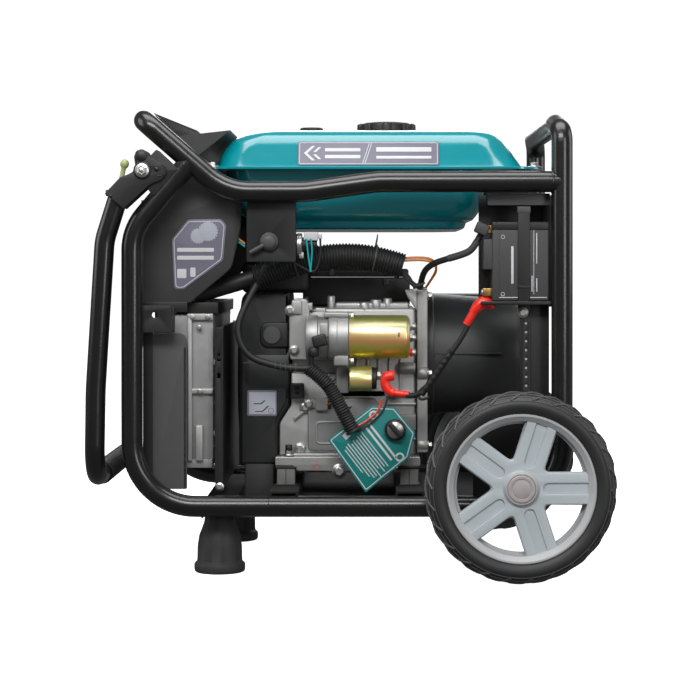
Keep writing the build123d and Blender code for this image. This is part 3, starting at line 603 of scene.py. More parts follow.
# ---- folding handle ---------------------------------------------------------------
def handle_hardware():
    """Folded brackets with a rolled lobe, their fixed plates, pivot bolts and knobs."""
    moving = [(-361, 574.5), (-333, 551.5), (-295, 586.5), (-287.4, 590.6), (-276.7, 594.6),
              (-268.4, 604), (-270, 616), (-281, 621.5), (-294, 629), (-298, 637), (-304.7, 641),
              (-314, 638.5), (-317.2, 629.2), (-315.3, 616), (-319.3, 606.6), (-327.3, 602.6), (-338, 598.6)]
    radii = [2, 2, 8, 4, 6, 8, 8, 10, 8, 6, 7, 7, 6, 8, 6, 8, 5]
    fixed = [(-306, 604), (-302, 622), (-284, 641), (-252, 611), (-288.5, 570), (-302, 587)]
    brackets, plates, bolts = [], [], []
    for side in (NEAR, FAR):
        y = side * FRAME_Y
        for flank in (NEAR, FAR):
            hole = circle(PIVOT_X, PIVOT_Z, 6)
            brackets.append(plate([rounded(moving, radii), hole], "y", y + flank * 17, y + flank * 21,
                                  SATIN, 0.7))
            plates.append(plate([rounded(fixed, 3)], "y", y + flank * 12, y + flank * 16, SATIN, 0.5))
            turns = [math.radians(a) for a in range(-120, 100, 20)]
            hook = [(-279 + 9 * math.cos(a), y + flank * 21.2, 609.5 + 9 * math.sin(a)) for a in turns]
            brackets.append(skin(hook, 0.8, SATIN, 8))
            brackets.append(disc((-306.5, y + flank * 21, 630.5), "y", 8.5, 2.4, SATIN, 1.0))
        brackets.append(box((-360, y - 17, 571), (-356, y + 17, 580), SATIN, 0.8))
        web = plate([rounded([(-361, 574), (-338, 599), (-335.5, 596.8), (-358.5, 571.8)], 0.5)], "y",
                    y - 17, y + 17, SATIN, 0.5)
        brackets.append(web)
        brackets.append(disc((-352, y + side * 21.4, 571), "y", 2.6, 1.6, SATIN, 0.5, 20))
        plates.append(box((-262, y - 12, 598), (-250, y + 12, 604), SATIN, 0.6))
        plates.append(disc((-283.5, y, 611), "y", 3.4, 32, SATIN, 0.6, 24))
        brackets += [disc((-283.5, y + flank * 21.8, 611), "y", 3.4, 2.4, SATIN, 0.6, 24)
                     for flank in (NEAR, FAR)]
        head = [(side * t, r) for t, r in ((-3, 8), (2.4, 8), (3.4, 6.6))]
        bolts += [disc((PIVOT_X, y + side * 22, PIVOT_Z), "y", 13, 2.0, SATIN, 0.6),
                  disc((PIVOT_X, y + side * 23.6, PIVOT_Z), "y", 10.6, 1.6, ZINC, 0.5),
                  lathe(head, (PIVOT_X, y + side * 26.6, PIVOT_Z), "y", ZINC, 6, angle=20),
                  disc((PIVOT_X, y + side * 29.2, PIVOT_Z), "y", 4.6, 2.4, ZINC, 1.0, 28),
                  disc((PIVOT_X, y, PIVOT_Z), "y", 5, 46, ZINC, 0.4, 24),
                  disc((PIVOT_X, y - side * 24, PIVOT_Z), "y", 8.6, 6, ZINC, 0.8, 6)]
    assemble("latch_brackets", brackets, "handle", ["handle_brackets"])
    assemble("welded_latch_plates", plates, stands_for=["fixed_brackets"])
    assemble("handle_pivot_bolts", bolts, stands_for=["pivot_bolts"])
    knobs = []
    for side in (NEAR, FAR):
        y = side * FRAME_Y
        top, foot = Vector((-333.5, y, 620)), Vector((-340, y, 590))
        run = (top - foot).normalized()
        path = [foot + run * t for t in (0, 10, 20, 24, 25.5, 28, 31, 34, 36, 37.2)]
        knobs.append(skin(path, [3.6, 3.6, 3.6, 3.8, 5.2, 6.4, 6.7, 5.8, 4.0, 1.4], KNOB, 28, 70))
    assemble("release_knobs", knobs, "handle_release", ["release_pins"])
    grip_low, grip_high = corners("handle_grip")
    radius = (grip_high.z - grip_low.z) / 2
    length = (grip_high.y - grip_low.y) / 2
    profile = [(-length, radius - 2.6), (-length + 2, radius)]
    count = int((2 * length - 20) / 8)
    for k in range(count):
        start = -length + 10 + 8 * k
        profile += [(start, radius), (start + 1, radius - 1), (start + 3, radius - 1), (start + 4, radius)]
    profile += [(length - 2, radius), (length, radius - 2.6)]
    grip = lathe(profile, (grip_low + grip_high) / 2, "y", SOFT_BLACK, 40, angle=40, caps=False)
    assemble("ribbed_grip", [grip], "handle", ["handle_grip"])


# ---- fuel tank -----------------------------------------------------------------------
def slab(z, x0, x1, half_y, radius, per_corner=10):
    """Rounded rectangle at one height, as a ring of points."""
    loop = []
    centres = ((x1 - radius, half_y - radius, 0), (x0 + radius, half_y - radius, 90),
               (x0 + radius, radius - half_y, 180), (x1 - radius, radius - half_y, 270))
    for cx, cy, start in centres:
        for k in range(per_corner + 1):
            angle = math.radians(start + 90 * k / per_corner)
            loop.append((cx + radius * math.cos(angle), cy + radius * math.sin(angle), z))
    return loop


def tank():
    """Pressed tank: domed upper shell, rolled flange, deep pan with pressed grooves."""
    shell = ((617.5, -201, 270, 198, 50), (621, -200, 267, 196, 50), (635, -197, 257, 190, 49),
             (648, -190, 249, 185, 48), (658, -181, 242, 180, 46), (666, -170, 236, 174, 45),
             (671, -158, 231, 166, 44), (674, -146, 224, 156, 42), (676, -130, 214, 144, 40),
             (677.5, -100, 190, 120, 36), (679, -40, 110, 70, 26))
    lip = ((612.6, -211, 295, 210.5, 40), (613.6, -213, 297, 212, 40), (616.4, -213, 297, 212, 40),
           (617.4, -211.5, 295.5, 210.8, 40), (617.8, -190, 262, 190, 44))
    pan = ((614, -190, 213, 179, 50), (590, -189, 212, 178.5, 50), (566, -186, 210, 177, 50),
           (557, -181, 207, 174, 48), (549, -172, 203, 169, 46), (542, -160, 198, 163, 44),
           (537.5, -150, 194, 157, 42), (536, -142, 190, 151, 40), (535.5, -136, 186, 147, 38),
           (532, -133, 184, 146, 38), (526, -131, 182, 145, 38), (523.4, -127, 178, 141, 36),
           (522.8, -110, 160, 126, 34))
    upper, flange, lower = [rings([slab(*level) for level in levels], TEAL, angle)
                            for levels, angle in ((shell, 60), (lip, 40), (pan, 60))]
    cap_low, cap_high = corners("fuel_cap")
    cx, cy = (cap_low.x + cap_high.x) / 2, (cap_low.y + cap_high.y) / 2
    well = lathe([(-4, 66), (-1.2, 64), (0, 60), (0.6, 50), (0.6, 40)], (cx, cy, 678.4), "z", TEAL, 64,
                 angle=60, caps=False)
    neck = disc((cx, cy, 675), "z", 31, 16, TEAL, 1.0)
    assemble("tank_shell_upper", [upper, flange, well, neck], stands_for=["tank_upper"])
    assemble("tank_pan", [lower], stands_for=["tank_lower"])

    # a plain name plate with a border and neutral stripes, and no lettering
    name_plate = plate([rectangle(-75, 139.5, -19.6, 19.6, 3)], "y", -0.9, 0.9, LILAC, 0.5)
    border = plate([rectangle(-73, 137.5, -17.8, 17.8, 2.4), rectangle(-72.2, 136.7, -17, 17, 2)], "y",
                   -1.1, -0.8, PRINT, 0.05)

    def mark(points, radius):
        return plate([rounded(points, radius)], "y", -1.15, -0.8, PRINT, 0.05)

    marks = [mark([(-66, 0), (-54, 12), (-49, 12), (-61, 0), (-49, -12), (-54, -12)], 0.6)]
    for up in (-1, 1):
        marks.append(mark([(-52, 2 * up), (-44, 10 * up), (-39.5, 10 * up), (-47.5, 2 * up)], 0.5))
    for x in (28, 31.6):
        marks.append(mark([(x - 5, -16.4), (x + 5, 16.4), (x + 6, 16.4), (x - 4, -16.4)], 0.1))
    for u0, u1, v0, v1 in ((-34, 20, 3, 8.5), (-34, 20, -8.5, -3), (44, 128, 2.5, 10), (44, 128, -9, -4.5)):
        marks.append(mark([(u0, v0), (u1, v0), (u1, v1), (u0, v1)], 1.2))
    lean = Matrix.Translation(Vector((0, -190.3, 637.8)) * MM) @ Matrix.Rotation(-0.36, 4, "X")
    for piece in [name_plate, border, *marks]:
        piece.data.transform(lean)
    assemble("tank_name_plate", [name_plate, border, marks])

    skirt = []
    levels = ((677.6, -1.0), (678.6, 0), (689.5, 0), (692.4, -0.6), (693.8, -2.6), (694.2, -6))
    for height, grow in levels:
        loop = []
        for k in range(192):
            angle = 2 * math.pi * k / 192
            lobe = max(0.0, math.cos(8 * angle)) ** 0.35
            reach = 41.5 + 5.4 * lobe + grow
            loop.append((cx + reach * math.cos(angle), cy + reach * math.sin(angle), height))
        skirt.append(loop)
    crown = lathe([(0, 30), (1.2, 29), (1.8, 27), (1.8, 12), (2.4, 11), (2.4, 3)], (cx, cy, 694), "z",
                  PLASTIC, 64, angle=40)
    cap = rings(skirt, PLASTIC, 35)
    assemble("lobed_fuel_cap", [cap, crown], "cap", ["fuel_cap"])

    gauge_low, gauge_high = corners("fuel_gauge")
    gauge_centre = (gauge_low + gauge_high) / 2
    gauge = [lathe([(-3, 18), (1.6, 18), (3, 16.4), (3, 13.6), (2, 13)], gauge_centre, "z", PLASTIC, 48),
             lathe([(1.6, 13.2), (2.4, 12), (2.8, 4)], gauge_centre, "z", GLASS, 48)]
    assemble("tank_level_gauge", gauge, stands_for=["fuel_gauge"])
    bolts = [[bolt((x, y, 617), "z", 1, flat=5.2, washer=9.5, height=5.5),
              disc((x, y, 617.2), "z", 13, 1.2, ZINC, 0.4)] for x in (-206, 285) for y in (-184, 184)]
    assemble("tank_flange_bolts", bolts, stands_for=["tank_bolts"])


# ---- panel end ----------------------------------------------------------------------------
COVER_OUTLINE = [(-312, 409), (-312, 524), (-262, 590), (-236, 606), (-200, 600), (-159, 580), (-163, 521),
                 (-176, 463), (-240, 410)]
COVER_RADII = [6, 16, 10, 8, 20, 10, 30, 30, 8]


def side_covers():
    """Pressed side covers, the near one with a bordered sticker of plain marks."""
    parts = []
    for side in (NEAR, FAR):
        parts.append(plate([rounded(COVER_OUTLINE, COVER_RADII)], "y", side * 184, side * 190, COVER, 1.8))
        parts.append(side_box(side, (-285, -250), (180, 184), (430, 480), SATIN, 0.8))
    hood = plate([rounded([(-300, 703), (-232, 675.5), (-228, 671), (-233, 671), (-296, 699)], 0.8)], "y",
                 -152, 152, SATIN, 0.6)
    wall = rounded([(-289.5, 697), (-232, 673), (-226, 669.6), (-268, 664.8), (-285, 678)], 0.4)
    lip = [plate([wall], "y", side * 149, side * 152, SATIN, 0.4) for side in (NEAR, FAR)]
    parts.append(box((-262, -176, 393), (-198, 176, 411), SATIN, 1))
    parts += [side_box(side, (-312, -243), (186, 196), (396, 412), SATIN, 1) for side in (NEAR, FAR)]
    assemble("side_cover_sheets", [parts, hood, lip], stands_for=["panel_covers"])
    label = [(-242.6, 537), (-192, 538), (-184, 529), (-189, 475), (-249, 431), (-263.5, 430.5), (-267, 507)]
    inset = [(-241.6, 534.4), (-193.4, 535.4), (-187, 528), (-191.6, 476.6), (-249.6, 433.6),
             (-261.2, 433.2), (-264.4, 506.4)]
    line = [(-241.1, 533.4), (-193.8, 534.4), (-188, 527.6), (-192.6, 477.2), (-249.9, 434.8),
            (-260.3, 434.3), (-263.4, 506)]
    body = plate([rounded(label, [8, 8, 8, 10, 10, 8, 10])], "y", -191, -190, LILAC, 0.4)
    border = plate([rounded(inset, [7, 7, 7, 9, 9, 7, 9]), rounded(line, [6, 6, 6, 8, 8, 6, 8])], "y",
                   -191.25, -190.9, PRINT, 0.05)
    marks = [plate([rectangle(*spans, 1.6)], "y", -191.3, -190.9, PRINT, 0.05)
             for spans in ((-259, -203, 488, 494), (-259, -203, 476, 482), (-259, -245, 448, 462),
                           (-239, -231, 450, 464))]
    for x, z, radius, teeth, lift in ((-212, 519, 13.5, 20, 0.1), (-227, 512, 10.5, 16, 0.0)):
        outline = []
        for k in range(teeth):
            for part, reach in ((0.0, 1.0), (0.3, 1.14), (0.6, 1.14), (0.9, 1.0)):
                angle = 2 * math.pi * (k + part) / teeth
                outline.append((x + radius * reach * math.cos(angle), z + radius * reach * math.sin(angle)))
        marks.append(plate([outline], "y", -191.3 - lift, -190.9, LIGHT_LABEL, 0.03, angle=20))
    assemble("side_cover_label", [body, border, marks])


def inverter():
    """Cast inverter case with its fins, edge ribs and cover screws."""
    low, high = corners("inverter_housing")
    parts = [box((low.x + 2, low.y + 2, 171), (high.x - 4, high.y - 2, 393), CAST_DULL, 2)]
    parts += boxes(CAST_DULL, *[(low.x + 2, y - 1.5, 159, high.x - 6, y + 1.5, 172, 0.6)
                                for y in range(-187, 188, 22)],
                   *[(-206, -186, z, -200, 186, z + 8, 1) for z in (207, 315)],
                   *[(-207.5, -184, z, -203, 184, z + 3, 0.8) for z in range(190, 367, 22)])
    for side in (NEAR, FAR):
        parts += [side_box(side, *row) for row in (
            ((-243, -204), (186, 194), (384, 394), CAST, 1.2),
            ((-243, -204), (186, 194), (272, 280), CAST, 1.2),
            ((-243, -236), (186, 195), (170, 388), CAST, 1.4),
            ((-230.6, -219.7), (186, 195), (170, 224), CAST, 1.4))]
        for x, z in ((-236, 389), (-212, 389), (-224, 276), (-225, 373)):
            parts.append(bolt((x, side * 194, z), "y", side, flat=2.6, washer=4, height=3))
    assemble("inverter_case", parts, stands_for=["inverter_housing"])


def guards():
    """Grey side guards, slotted corner strips and the drilled tab plates."""
    parts = []
    for side in (NEAR, FAR):
        sheet = rounded([(-295, 128), (-243.2, 128), (-243.2, 365), (-295, 365)], [3, 2, 14, 3])
        hem = rounded([(-310, 128), (-294, 128), (-294, 378), (-310, 378)], 2)
        strip = rounded([(-201, 373), (-188, 373), (-188, 124), (-199.6, 124), (-201, 160)], 1.5)
        slots = [rectangle(-197.4, -192, z0, z1, 2.4) for z0, z1 in ((322, 334), (296, 304))]
        tab = rounded([(-318, 366), (-263, 366), (-263, 404), (-266, 407), (-312, 407), (-318, 400)], 1.5)
        parts += [plate([sheet], "y", side * 199, side * 202, GUARD, 0.9),
                  plate([hem], "y", side * 199, side * 201.5, SATIN, 0.6),
                  plate([strip, *slots], "y", side * 200, side * 204, SATIN, 0.6),
                  plate([tab, circle(-288.5, 393, 4.5)], "y", side * 229, side * 232.5, SATIN, 0.7),
                  bolt((-193, side * 204, 132), "y", side, flat=4, washer=6.6, height=4)]
        parts += [side_box(side, *row) for row in (
            ((-249, -243.4), (192, 202), (128, 344), GUARD, 1.2),
            ((-284, -250), (190, 199), (190, 202), SATIN, 0.8),
            ((-284, -250), (190, 199), (330, 342), SATIN, 0.8),
            ((-199.9, -197), (190, 200), (124, 300), SATIN, 0.6),
            ((-262.6, -260), (212, 232), (366.5, 404), SATIN, 0.6))]
    parts.append(box((-191.5, -189.5, 129), (-188.5, 189.5, 375), SATIN, 0.6))
    assemble("side_guard_sheets", parts, stands_for=["side_guards"])


# ---- engine --------------------------------------------------------------------------------
def shroud():
    """Moulded fan housing with a front pad, boss, sticker and lower duct."""
    middle = (0, 0, SHROUD_Z)
    drum = lathe([(-172, 70), (-172, 112), (-170.5, 121), (-166, 127), (-158, 131), (-150, 132),
                  (-92, 132), (-90, 130), (-90, 70)], middle, "x", PLASTIC, 96, angle=30, caps=False)
    front = rounded([(-169, 156), (-107.5, 156), (-107.5, 222), (-90, 250), (-90, 426), (-150, 426),
                     (-169, 398)], [4, 3, 26, 26, 3, 18, 30])
    panel = rounded([(-165, 160), (-112, 160), (-112, 226), (-95, 256), (-95, 318), (-165, 318)],
                    [3, 3, 20, 20, 4, 4])
    pad = rounded([(-136, 340), (-92, 340), (-92, 379), (-136, 379)], [14, 2, 2, 14])
    lower_line = [(-146, 252), (-134, 252), (-128, 257), (-129, 258.5), (-135, 253.6), (-146, 253.6)]
    upper_line = [(-144, 240), (-132, 240), (-122, 249), (-124, 250), (-133, 241.4), (-144, 241.4)]
    ring = [circle(-119, 242, radius, 24) for radius in (4.4, 3.8)]
    parts = [drum] + [
        plate(outlines, "y", face, back, material, edge) for outlines, face, back, material, edge in (
            ([front], -128, -40, PLASTIC, 6), ([panel], -130.5, -120, PLASTIC, 2.4),
            ([pad], -132.5, -120, PLASTIC, 2.2),
            ([rectangle(-156, -110, 233.5, 273.5, 3.5)], -131.4, -130.2, LILAC, 0.3),
            ([rectangle(-153, -112, 236.5, 270.5, 1)], -131.7, -131.2, LIGHT_LABEL, 0.08),
            ([rounded(lower_line, 0.2)], -131.9, -131.6, INK, 0.03), (ring, -131.9, -131.6, INK, 0.03),
            ([rounded(upper_line, 0.2)], -131.9, -131.6, INK, 0.03))]
    parts.append(lathe([(0, 14), (-1.6, 14), (-2.6, 13.2), (-2.8, 11)], (-117.5, -132.3, 359.5), "y",
                       GUARD, 40, angle=30))
    parts += boxes(PLASTIC, (-160, -100, 122, -118, 112, 232, 4))
    parts += boxes(DUCT_BLACK, (-160, -127.5, 107, -115, -104, 164, 2.5))
    place = Vector(middle) * MM
    for k in range(3):
        bar = box((-172, -3, SHROUD_Z - 70), (-168, 3, SHROUD_Z + 70), PLASTIC, 0.8)
        bar.data.transform(Matrix.Translation(place) @ Matrix.Rotation(math.radians(60 * k), 4, "X")
                           @ Matrix.Translation(-place))
        parts.append(bar)
    parts += [torus((-170, 0, SHROUD_Z), "x", radius, 1.8, PLASTIC, 72) for radius in (70, 56, 42, 28)]
    assemble("fan_housing", parts, stands_for=["fan_shroud"])


def crank_case():
    """Cast case with cover rim, pockets, bosses, base flange and its bolts."""
    parts = boxes(CAST, (-87, -122, 170, 106, 92, 402, 6), (-20, -118, 396, 96, 70, 410, 4),
                  (-84, -146, 171, 96, -120, 177, 1.6), (-86, -166, 392, -70, -150, 414, 2),
                  (-68, -160, 398, -54, -130, 410, 1.6), (-50, -150, 392, -34, -126, 402, 1.4),
                  (-34, -127, 262, 100, -112, 274, 2), (82, -132, 300, 105, -108, 316, 2),
                  (-60, -138, 150, 60, -128, 158, 1.4))
    parts += boxes(CAST_DULL, (-111, -140, 158, 111, 118, 171.5, 2), (80, -132, 210, 106, -112, 236, 2))
    parts += boxes(CAST, *[(12 + 17 * k, -126, 262, 16 + 17 * k, -110, 322, 1.2) for k in range(5)])
    parts += boxes(CAST, *[(60, -126, 196 + 18 * k, 106, -118, 200 + 18 * k, 1.2) for k in range(4)])
    rim_line = rounded([(-106, 172), (-106, 222), (-88, 250), (-88, 300), (-62, 300), (-58, 300),
                        (60, 300), (60, 172)], [2, 14, 14, 2, 2, 2, 4, 3])
    cover = rounded([(-62, 180), (-62, 248), (-48, 262), (40, 262), (52, 250), (52, 180)], 8)
    slope = rounded([(-84, 226), (-62, 244), (-62, 248), (-84, 232)], 1)
    base = rounded([(-112, 158), (-112, 172), (112, 172), (112, 157), (60, 157), (44, 151), (10, 150),
                    (-8, 148), (-36, 150), (-78, 150), (-84, 158)], [2, 3, 3, 3, 4, 6, 8, 8, 6, 3, 3])
    pocket = [rectangle(-50, 14, 190, 226, 8), rectangle(-47.5, 11.5, 192.5, 223.5, 6)]
    # the gear housing stands on the left, above the cover
    gear = rounded([(-88, 322), (-62, 322), (-62, 330), (-58, 400), (-62, 416), (-84, 416), (-90, 398),
                    (-90, 336)], [4, 2, 2, 6, 6, 6, 8, 8])
    for outlines, front, back, material, edge in (
            ([rim_line], -127, -110, CAST, 2.2), ([cover], -134, -124, CAST_DULL, 2.4),
            (pocket, -135.6, -133, CAST, 0.7), ([slope], -133, -126, CAST, 0.8),
            ([base], -148, -132, CAST, 1.4), ([gear], -162, -118, CAST, 2.2)):
        parts.append(plate(outlines, "y", front, back, material, edge))
    for x in (-91, 66):
        parts += [disc((x, -140, 174), "z", 8.6, 4, ZINC, 0.8),
                  lathe([(0, 6.2), (5, 6.2), (6, 5.2)], (x, -140, 175.5), "z", ZINC, 6, angle=20),
                  disc((x, -140, 185), "z", 5.5, 10, SOFT_BLACK, 0.8, 24)]
    parts += [disc((-13, -149, 150), "y", 11.5, 2.4, ZINC, 0.6),
              disc((-13, -150.5, 150), "y", 8.8, 2, STEEL, 0.5),
              bolt((-13, -151, 150), "y", -1, flat=6, washer=7.4, height=5),
              torus((-47.5, -148.4, 157), "y", 4.6, 0.35, RED, 32)]
    for x, z in ((-66, 247), (74, 268), (74, 184), (-74, 184)):
        parts += [disc((x, -128, z), "y", 9, 8, CAST, 1.2),
                  bolt((x, -132, z), "y", -1, flat=4.4, washer=7, height=4)]
    for x, z in ((-82, 337), (-88, 398)):
        parts += [disc((x, -162, z), "y", 8.4, 5, CAST, 1),
                  bolt((x, -164.5, z), "y", -1, flat=4.6, washer=6.6, height=4)]
    for x, z0, z1, radius in ((26, 392, 410, 9.6), (44, 394, 414, 9), (-26, 388, 420, 6), (62, 392, 416, 7)):
        parts.append(disc((x, -112, (z0 + z1) / 2), "z", radius, z1 - z0, CAST, 1.2))
    parts.append(disc((92, -128, 308), "x", 9, 24, CAST, 1.4))
    for x, sign in ((10, 1), (42, -1)):
        web = rounded([(x, 392), (x + sign * 11, 392), (x + sign * 11, 408)], 0.8)
        parts.append(plate([web], "y", -116, -106, CAST, 1))
    assemble("crankcase_casting", parts, stands_for=["crankcase"])


def starter():
    """Plated starter motor and solenoid on their cast nose."""
    y, z = MOTOR_Y, MOTOR_Z
    drive = [(-64, 28), (-63, 31), (-60, 32.5), (-46, 33), (-44, 31), (-30, 31)]
    collar = [(-30, 31), (-28.5, 34.4), (-27, 35.4), (-16, 35.4), (-15, 34.6), (-14, 34.6), (1, 34.8),
              (2, 34)]
    nose = [lathe(drive, (0, y, z), "x", CAST, 56, angle=40),
            lathe(collar, (0, y, z), "x", CAST, 56, angle=35)]
    nose += boxes(CAST, (-36, y - 20, 388, 2, y + 16, 396, 2), (-21, y - 20, 314, 2, y + 14, 334, 2.4),
                  (-60, -152, 322, -30, -128, 396, 2.4), (-42, y - 34, 358, -29, y - 18, 380, 2))
    nose += boxes(CAST_DULL, (-18, -150, 270, 1.5, -128, 322, 2))
    nose += [bolt((3, y + dy, bolt_z), "x", 1, flat=4, washer=5.6, height=5)
             for dy, bolt_z in ((-14, 391), (-12, 322))]
    elbow = [box((-53, y - 42, 344), (-31, y - 28, 362), SOFT_BLACK, 3, turn=-14),
             disc((-51, y - 34, 336), "z", 8.4, 14, SOFT_BLACK, 1.6)]
    assemble("starter_nose_casting", [nose, elbow], stands_for=["starter_nose"])

    can = [(2.4, 32.6), (3.4, 33.3), (89, 33.3), (92, 32.4), (94.4, 30), (95.4, 26), (95.4, 8)]
    motor = [lathe(can, (0, y, z), "x", GOLD_AND_HIGHLIGHT, 72, angle=50), torus((4.4, y, z), "x", 33.1, 0.5, GOLD_AND_HIGHLIGHT, 72),
             box((77, y - 33.9, 359), (80, y - 32.6, 366), STEEL, 0.6)]
    for dy, dz, nut in ((-8, 16, STEEL), (-20, -1, STEEL), (-6, -24, RED)):
        motor += [disc((100, y + dy, z + dz), "x", 5.4, 10, ZINC, 1.2, 24),
                  lathe([(95.6, 7.4), (98.6, 7.4), (99.6, 6.4)], (0, y + dy, z + dz), "x", nut, 6, angle=20)]
    can = [(3, 18.6), (4, 19.5), (36, 19.5), (37.4, 18.6), (37.4, 10)]
    coil = [lathe(can, (0, y, COIL_Z), "x", COIL_PLATING_AND_HIGHLIGHT, 56, angle=40),
            torus((4.6, y, COIL_Z), "x", 19.4, 0.5, COIL_PLATING_AND_HIGHLIGHT, 56),
            lathe([(37, 17.4), (44, 16.6), (45, 15), (45, 4)], (0, y, COIL_Z), "x", SOFT_BLACK, 48, angle=35),
            disc((49, y - 6, 298), "x", 5, 10, ZINC, 0.8, 24),
            lathe([(46, 7.4), (50, 7.4), (51, 6.4)], (0, y - 6, 298), "x", ZINC, 6, angle=20)]
    assemble("starter_and_solenoid", [motor, coil], stands_for=["starter_motor"])


def engine_top():
    """Air box, harness conduit with its ties, muffler guard and valve cover screws."""
    low, high = corners("air_box")
    lid = boxes(SATIN, (*low, high.x, high.y, 448, 3),
                (low.x + 2, low.y + 2, 449, high.x - 2, high.y - 2, high.z, 4),
                (low.x + 2, low.y + 2, 455, 64, high.y - 2, high.z + 13, 4),
                (-166, -96, 424, low.x + 10, 60, 473, 8))
    tabs = [box((x, low.y - 6, z), (x + 8, low.y + 2, z + 10), GUARD, 1.4)
            for x, z in ((-71, 436), (-30, 452), (56, 436), (-71, 408), (56, 408))]
    assemble("air_box_moulded", [lid, tabs], stands_for=["air_box"])
    hose = [(-142, -150, 448), (-108, -151, 462), (-70, -151, 474), (-30, -150, 481), (14, -149, 482),
            (52, -147, 476), (84, -145, 466)]
    lead_in = [(-236, -148, 420), (-206, -149, 430), (-172, -151, 440), (-138, -151, 450)]
    parts = [corrugated(hose, 20.2, 4.6, 2.2, SOFT_BLACK), strand(lead_in, 13, SOFT_BLACK),
             disc((-142, -150, 448), "x", 17, 6, SOFT_BLACK, 1.5)]
    path = walk(hose, 4)
    for share in (0.28, 0.8):
        index = int(share * len(path))
        strap = torus((0, 0, 0), "z", 21.6, 1.3, GUARD, 40)
        ahead = (path[index + 1] - path[index - 1]).normalized()
        turn = Vector((0, 0, 1)).rotation_difference(ahead).to_matrix().to_4x4()
        strap.data.transform(Matrix.Translation(path[index] * MM) @ turn)
        parts.append(strap)
        tail = [path[index] + Vector(step) for step in ((2, -3, 20), (4, -4, 30), (5, -4, 38))]
        parts.append(skin(tail, [1.6, 1.4, 0.8], GUARD, 8))
    assemble("conduit_ribbed", parts, stands_for=["harness_conduit"])
    dress(CAST_DULL, "cylinder")
    dress(CAST, "valve_cover")
    dress(EXHAUST, "muffler")
    dress(STEEL, "crankshaft", "flywheel", "rotor")
    dress(COPPER, "stator")
    guard = boxes(EXHAUST, *[(138 + 15 * k, 202, 316, 144 + 15 * k, 205, 404, 1) for k in range(9)],
                  (132, 203, 318, 266, 206, 324, 1), (132, 203, 396, 266, 206, 402, 1))
    assemble("muffler_heat_guard", guard)
    cover = [bolt((x, 206, z), "y", 1, flat=4.4, washer=7, height=4.5)
             for x, z in ((-36, 266), (36, 266), (-36, 336), (36, 336))]
    cover.append(plate([rectangle(-30, 30, 280, 322, 6)], "y", 206, 207.5, CAST_DULL, 0.6))
    assemble("valve_cover_screws", cover)


def oil_fittings():
    """Oil level unit, dipstick cap and the card tag that hangs on it."""
    unit = plate([rectangle(-89, -67.5, 261.5, 285, 3), circle(-78.3, 276.6, 2.7), circle(-78.3, 269.6, 2.7)],
                 "y", -142, -128, SATIN, 1.2)
    dark = box((-84, -137, 265), (-73, -130, 281), INK, 0.6)
    sensor = [plate([rectangle(-50, -31, 242, 262, 4)], "y", -141, -128, CAST, 1.8),
              box((-68, -138, 246), (-48, -128, 260), CAST, 2),
              bolt((-60, -138, 253), "y", -1, flat=4.4, washer=6.6, height=4),
              box((-31, -138, 245), (-25, -130, 258), SOFT_BLACK, 1)]
    assemble("oil_level_sensor", [unit, dark, sensor], stands_for=["oil_level_unit"])

    outline = [(37, 253), (72, 251), (104, 212), (93.5, 174), (28, 121), (-30, 201.5)]
    inset = [(38, 250.4), (70.8, 248.6), (101, 211.4), (91.2, 175.4), (28.4, 124.6), (-26.2, 201)]
    line = [(38.4, 249), (70.2, 247.2), (99.5, 211), (90, 176.2), (28.7, 126.6), (-24.2, 200.8)]
    card = plate([rounded(outline, 2)], "y", -186, -185, TAG, 0.2)
    trim = plate([rounded(inset, 2), rounded(line, 2)], "y", -186.3, -185.9, PRINT, 0.05)
    lean = math.radians(-52)
    along = Vector((math.cos(lean), math.sin(lean)))
    across = Vector((-along.y, along.x))

    def ink(*outlines):
        return plate(outlines, "y", -186.35, -185.9, PRINT, 0.04)

    def bar(corner, length, thick):
        points = [corner, corner + along * length, corner + along * length - across * thick,
                  corner - across * thick]
        return ink(rounded([tuple(p) for p in points], 0.3))

    marks = [bar(Vector((34, 228)) + along * begin - across * drop, length, 3.4)
             for drop, begin, length in ((0, 0, 68), (7.5, 2, 64))]
    rows = ((0, 66), (3, 60), (1, 68), (4, 56), (2, 70), (5, 62), (1, 66), (3, 58), (6, 44))
    marks += [bar(Vector((25, 216)) + along * begin - across * (3.5 + 4.6 * k), length, 1.5)
              for k, (begin, length) in enumerate(rows)]
    marks += [ink(circle(x, z, 7, 28), circle(x, z, 4.2, 24)) for x, z in ((80, 175), (40, 239))]
    marks.append(ink(rounded([(-8, 208), (-1, 214), (5, 207), (-2, 201)], 1)))
    assemble("service_card", [card, trim, marks], stands_for=["service_tag"])

    centre = Vector((DIP_X, 0, DIP_Z))
    cap = [lathe([(-186.4, 15.4), (-187.4, 16.4), (-193, 16.4), (-195, 15.4), (-196.4, 13), (-196.4, 4)],
                 centre, "y", SATIN, 48, angle=35),
           disc((DIP_X, -196.6, DIP_Z), "y", 12.6, 1.4, STEEL, 0.5),
           box((DIP_X - 14, -203, DIP_Z - 4), (DIP_X + 14, -195, DIP_Z + 4), SATIN, 2, turn=50),
           lathe([(-104, 8.6), (-150, 8.6), (-150, 8), (-187, 8)], centre, "y", SATIN, 40)]
    assemble("dipstick_cap", cap, "oil_dipstick", ["dipstick"])


def mounts():
    """Rubber buffers with a moulded parting line under the engine, and their washers."""
    parts = []
    for x in BUFFER_X:
        for y in BUFFER_Y:
            parts += boxes(BLOCK, (x - 14, y - 14, 129, x + 14, y + 14, 156, 2))
            parts += boxes(SOFT_BLACK, (x - 0.5, y - 14.5, 130, x + 0.5, y + 14.5, 155, 0.2))
            parts += boxes(SATIN, (x - 17, y - 16, 127.6, x + 17, y + 16, 130.4, 0.8),
                           (x - 16, y - 15, 154, x + 16, y + 15, 157.4, 0.8))
    assemble("engine_buffers", parts, stands_for=["rubber_mounts"])


